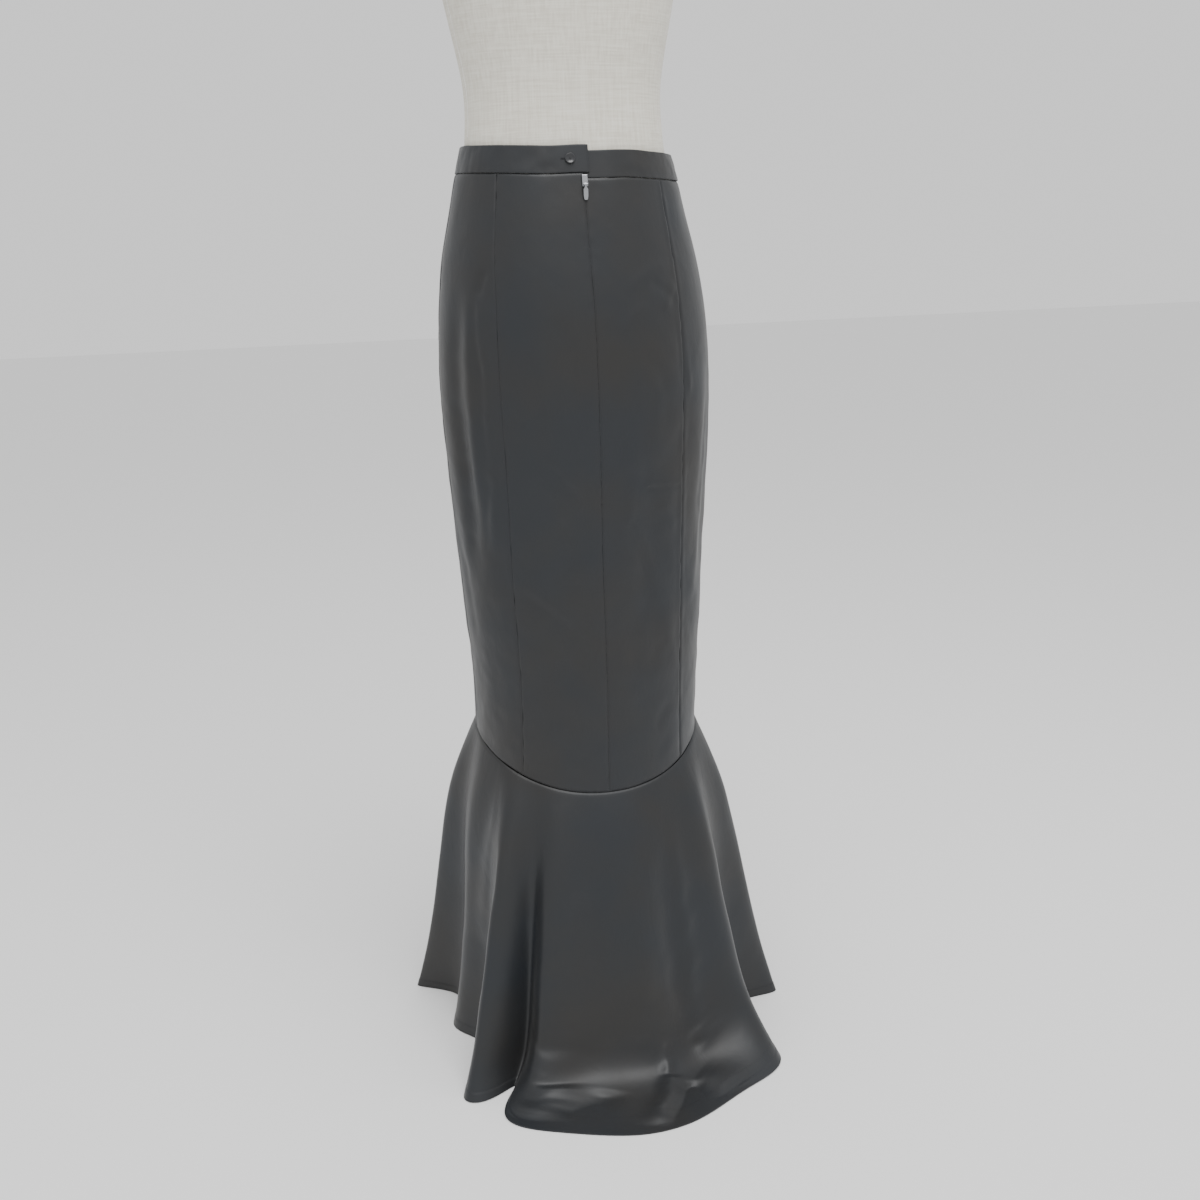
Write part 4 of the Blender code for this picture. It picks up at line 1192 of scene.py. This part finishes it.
@dataclass
class Fastening:
    """The button with its buttonhole, and the zip's hard pieces."""

    shape: SkirtShape
    maker: MeshMaker
    resin: bpy.types.Material
    thread: bpy.types.Material
    metal: bpy.types.Material
    tape: bpy.types.Material
    radius: float = 0.0056
    thickness: float = 0.0024
    button_deg: float = 6.0
    hole_length: float = 0.0125

    def cloth_frame(self, degrees: float, z: float, out: float) -> Matrix:
        """A place on the cloth: x round the body, y up the cloth, z outwards."""
        here = Vector(self.shape.skirt(degrees, z, out))
        beside = [Vector(self.shape.skirt(degrees + turn, z, out)) for turn in (-0.2, 0.2)]
        across = ((beside[1] - beside[0]) * Vector((1, 1, 0))).normalized()
        above = Vector(self.shape.skirt(degrees, z + 0.001, out)) - here
        outward = above.cross(across).normalized()
        if outward.dot(Vector((here.x, here.y, 0))) < 0:
            outward = -outward
        up = outward.cross(across)
        frame = Matrix((across, up, outward)).transposed().to_4x4()
        frame.translation = here + self.maker.pole
        return frame

    def build_button(self) -> None:
        """Makes the dished button, its thread and the buttonhole's edge."""
        z = float(self.shape.band_top(self.button_deg)) - self.shape.band_height / 2
        frame = self.cloth_frame(self.button_deg, z, 0.0006)
        place = frame @ Matrix.Translation((0, 0, self.shape.seam_gap))
        r, t = self.radius, self.thickness
        profile = [(0, 0), (r - 0.0012, 0), (r - 0.0004, 0.0004), (r, 0.0011), (r, t - 0.0007)]
        profile += [(r - 0.0002, t - 0.0003), (r - 0.0007, t), (r - 0.0013, t - 0.0001), (r - 0.0020, t - 0.0006)]
        profile += [(r - 0.0030, t - 0.0009), (0, t - 0.0010)]
        button = self.maker.lathe("waist_button_resin", profile, 48, place)
        button.data.materials.append(self.resin)
        settle(button, "waist_button")
        cross = []
        for turn in (math.pi / 4, -math.pi / 4):
            reach = Vector((math.cos(turn), math.sin(turn), 0)) * 0.0013
            lift = Vector((0, 0, t - 0.0008))
            arch = [Vector((0, 0, 0.0002 * (1 - s * s))) + reach * s for s in np.linspace(-1, 1, 7)]
            cross.append(np.array([place @ (lift + point) for point in arch]))
        threads = Stitches(0.0009, 0.00045, 0.00042).sew("button_thread", cross, self.thread)
        settle(threads)
        edge = []
        half = self.hole_length / 2
        for side in (-1, 1):
            points = [frame @ Vector((s * half + 0.0035, side * 0.0006, 0.00018)) for s in np.linspace(-1, 1, 12)]
            edge.append(np.array(points))
        hole = Stitches(0.0004, 0.0011, 0.00048).sew("buttonhole_stitches", edge, self.thread)
        settle(hole)

    def dress(self, frame: dict) -> None:
        """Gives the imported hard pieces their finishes."""
        for node, material in (("zip_slider", self.metal), ("zip_pull", self.metal), ("zip_tape", self.tape)):
            refinish(frame, node, material)

    def build(self, frame: dict) -> None:
        """Makes and dresses everything."""
        self.build_button()
        self.dress(frame)
        LOG.info("fastening done")


@dataclass(frozen=True)
class FormRing:
    """A level section of the dress form."""

    z: float
    half_width: float
    back: float
    front: float
    middle_y: float


@dataclass
class DressForm:
    """The padded linen torso, its neck cap, pole and foot."""

    shape: SkirtShape
    maker: MeshMaker
    linen: bpy.types.Material
    piping: bpy.types.Material
    wood: bpy.types.Material
    metal: bpy.types.Material
    columns: int = 144
    levels: int = 190
    bust_height: float = 0.030
    bust_spread: float = 0.068
    bust_z: float = 1.283
    bust_width: float = 0.040
    bust_tall: float = 0.052
    side_seam_deg: float = 82.0
    rings: tuple[FormRing, ...] = (
        FormRing(0.662, 0.1360, 0.1050, 0.0990, 0.000),
        FormRing(0.720, 0.1430, 0.1075, 0.1010, 0.000),
        FormRing(0.790, 0.1470, 0.1100, 0.1015, 0.000),
        FormRing(0.850, 0.1460, 0.1110, 0.1005, 0.000),
        FormRing(0.920, 0.1400, 0.1055, 0.0975, 0.000),
        FormRing(0.985, 0.1280, 0.0960, 0.0930, 0.000),
        FormRing(1.035, 0.1160, 0.0870, 0.0870, 0.000),
        FormRing(1.070, 0.1120, 0.0830, 0.0840, 0.000),
        FormRing(1.110, 0.1110, 0.0815, 0.0830, 0.000),
        FormRing(1.160, 0.1185, 0.0850, 0.0860, 0.000),
        FormRing(1.210, 0.1285, 0.0900, 0.0930, 0.000),
        FormRing(1.260, 0.1370, 0.0960, 0.0980, 0.000),
        FormRing(1.310, 0.1430, 0.1000, 0.0970, 0.003),
        FormRing(1.360, 0.1510, 0.0980, 0.0900, 0.006),
        FormRing(1.400, 0.1610, 0.0900, 0.0780, 0.008),
        FormRing(1.430, 0.1640, 0.0790, 0.0660, 0.010),
        FormRing(1.450, 0.1500, 0.0700, 0.0570, 0.010),
        FormRing(1.468, 0.1150, 0.0620, 0.0510, 0.009),
        FormRing(1.482, 0.0820, 0.0560, 0.0480, 0.006),
        FormRing(1.500, 0.0620, 0.0520, 0.0470, 0.002),
        FormRing(1.530, 0.0560, 0.0500, 0.0470, -0.003),
    )

    def surface(self, degrees: Array, z: Array) -> Array:
        """A point on the torso."""
        sizes = Spline([r.z for r in self.rings], [(r.half_width, r.back, r.front, r.middle_y) for r in self.rings])
        half_width, back, front, middle_y = np.moveaxis(sizes(z), -1, 0)
        x, y = self.shape.section(degrees, half_width, back, front)
        swell = np.exp(-(((z - self.bust_z) / self.bust_tall) ** 2))
        fore = soft_step(0.05, -0.25, np.cos(np.radians(degrees)))
        for side in (-1, 1):
            spread = np.exp(-(((x - side * self.bust_spread) / self.bust_width) ** 2))
            y = y - self.bust_height * swell * spread * fore
        return np.stack([x, y + middle_y, z], -1)

    def build_torso(self) -> None:
        """Makes the torso, closed above and below, and the piped side seams."""
        z = np.linspace(self.rings[0].z, self.rings[-1].z, self.levels)[:, None]
        degrees = np.linspace(0, 360, self.columns + 1)[:-1]
        degrees, z = np.broadcast_arrays(degrees, z)
        points = self.surface(degrees, z)
        torso = self.maker.swept("form_torso_linen", points, np.stack([np.radians(degrees) * 0.13, z], -1))
        torso.data.materials.append(self.linen)
        settle(torso, "form_torso")
        paths = []
        heights = np.linspace(1.066, 1.425, 160)
        for side in (-1, 1):
            turn = side * (self.side_seam_deg + 0 * heights)
            here = self.surface(turn, heights)
            paths.append(here + np.array(self.maker.pole))
        seam = Stitches(0.0034, 0.0016, 0.0021).sew("form_side_piping", paths, self.piping)
        settle(seam)

    def build(self, frame: dict) -> None:
        """Makes the torso and dresses the stand."""
        self.build_torso()
        for node, material in (("form_neck_cap", self.wood), ("form_pole", self.metal), ("form_foot", self.metal)):
            refinish(frame, node, material)
        LOG.info("dress form done")


# ------------------------------------------------------------------------------------------------- the studio


@dataclass(frozen=True)
class Softbox:
    """A soft area light. Its place is along the view's directions: right, towards the camera and up."""

    name: str
    place: tuple[float, float, float]
    aim: tuple[float, float, float]
    size: tuple[float, float]
    power: float
    colour: tuple[float, float, float] = (1.0, 1.0, 1.0)


@dataclass
class Studio:
    """The pale floor, the lights and the camera."""

    pole: Vector
    view_deg: float = 13.0
    distance: float = 1.7716
    aside: float = 0.024
    height: float = 0.970
    pitch_deg: float = 14.13
    roll_deg: float = 1.85
    lens: float = 45.0
    sky: float = 1.0
    boxes: tuple[Softbox, ...] = (
        Softbox("overhead", (0.3, 0.9, 2.9), (0.0, 0.1, 0.6), (1.6, 1.6), 60.0),
    )

    def axes(self) -> tuple[Vector, Vector]:
        """The view's right, and the direction from the pole to the camera."""
        angle = math.radians(self.view_deg)
        return Vector((-math.cos(angle), math.sin(angle), 0)), Vector((math.sin(angle), math.cos(angle), 0))

    def spot(self, place: tuple[float, float, float]) -> Vector:
        """A place given along the view's directions, in the scene's frame."""
        right, towards = self.axes()
        return self.pole + right * place[0] + towards * place[1] + Vector((0, 0, place[2]))

    def build_camera(self) -> None:
        """Places the camera."""
        right, towards = self.axes()
        pitch = math.radians(self.pitch_deg)
        forward = -towards * math.cos(pitch) - Vector((0, 0, math.sin(pitch)))
        up = right.cross(forward)
        place = Matrix((right, up, -forward)).transposed().to_4x4()
        place = place @ Matrix.Rotation(math.radians(-self.roll_deg), 4, "Z")
        place.translation = self.pole + towards * self.distance + right * self.aside + Vector((0, 0, self.height))
        data = bpy.data.cameras.new("camera")
        data.lens, data.sensor_width, data.clip_start = self.lens, 36.0, 0.01
        camera = bpy.data.objects.new("camera", data)
        camera.matrix_world = place
        bpy.context.scene.collection.objects.link(camera)
        bpy.context.scene.camera = camera

    def build_lights(self) -> None:
        """Places the softboxes and the pale surroundings."""
        for box in self.boxes:
            data = bpy.data.lights.new(box.name, "AREA")
            data.shape, data.size, data.size_y = "RECTANGLE", *box.size
            data.energy, data.color = box.power, box.colour
            lamp = bpy.data.objects.new(box.name, data)
            here = self.spot(box.place)
            lamp.location = here
            lamp.rotation_euler = (self.spot(box.aim) - here).to_track_quat("-Z", "Y").to_euler()
            bpy.context.scene.collection.objects.link(lamp)
        world = bpy.data.worlds.new("surroundings")
        world.use_nodes = True
        world.node_tree.nodes["Background"].inputs[0].default_value = (1, 1, 1, 1)
        world.node_tree.nodes["Background"].inputs[1].default_value = self.sky
        bpy.context.scene.world = world

    def build_floor(self) -> None:
        """Makes the pale floor."""
        mesh = bpy.data.meshes.new("floor")
        half = 12.0
        mesh.from_pydata([(-half, -half, 0), (half, -half, 0), (half, half, 0), (-half, half, 0)], [], [(0, 1, 2, 3)])
        floor = bpy.data.objects.new("floor", mesh)
        bpy.context.scene.collection.objects.link(floor)
        n = Nodes("floor_paint")
        n.shade({"Base Color": (0.9, 0.9, 0.9, 1), "Roughness": 0.7, "Specular IOR Level": 0.2})
        mesh.materials.append(n.material)

    def build(self) -> None:
        """Makes the whole studio."""
        self.build_camera()
        self.build_lights()
        self.build_floor()


def main() -> None:
    """Builds the skirt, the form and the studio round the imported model."""
    logging.basicConfig(level=logging.INFO, format="%(message)s")
    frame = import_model()
    low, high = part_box("form_pole")
    pole = Vector(((low[0] + high[0]) / 2, (low[1] + high[1]) / 2, 0))
    maker = MeshMaker(pole)
    shape = SkirtShape()
    satin = Satin("black_satin").build()
    thread = Plain("black_thread", (0.020, 0.021, 0.024), (0.5, 0.7)).build()
    metal = Plain("dark_zip_metal", (0.42, 0.43, 0.45), (0.22, 0.34), 1.0, 900.0, 0.02).build()
    tape = Plain("zip_tape_cloth", (0.016, 0.016, 0.018), (0.75, 0.9), grain=400.0).build()
    resin = Plain("button_resin", (0.020, 0.021, 0.024), (0.25, 0.40), coat=0.2).build()
    linen = Linen("undyed_linen").build()
    piping = Plain("white_piping", (0.82, 0.81, 0.76), (0.8, 0.95)).build()
    wood = Wood("cap_wood").build()
    iron = Plain("painted_iron", (0.045, 0.045, 0.048), (0.4, 0.6)).build()
    Waistband(shape, maker, satin).build()
    UpperSkirt(shape, maker, satin).build()
    Flounce(shape, maker, satin, thread).build()
    Fastening(shape, maker, resin, thread, metal, tape).build(frame)
    DressForm(shape, maker, linen, piping, wood, iron).build(frame)
    Studio(pole).build()


if __name__ == "__main__":
    main()
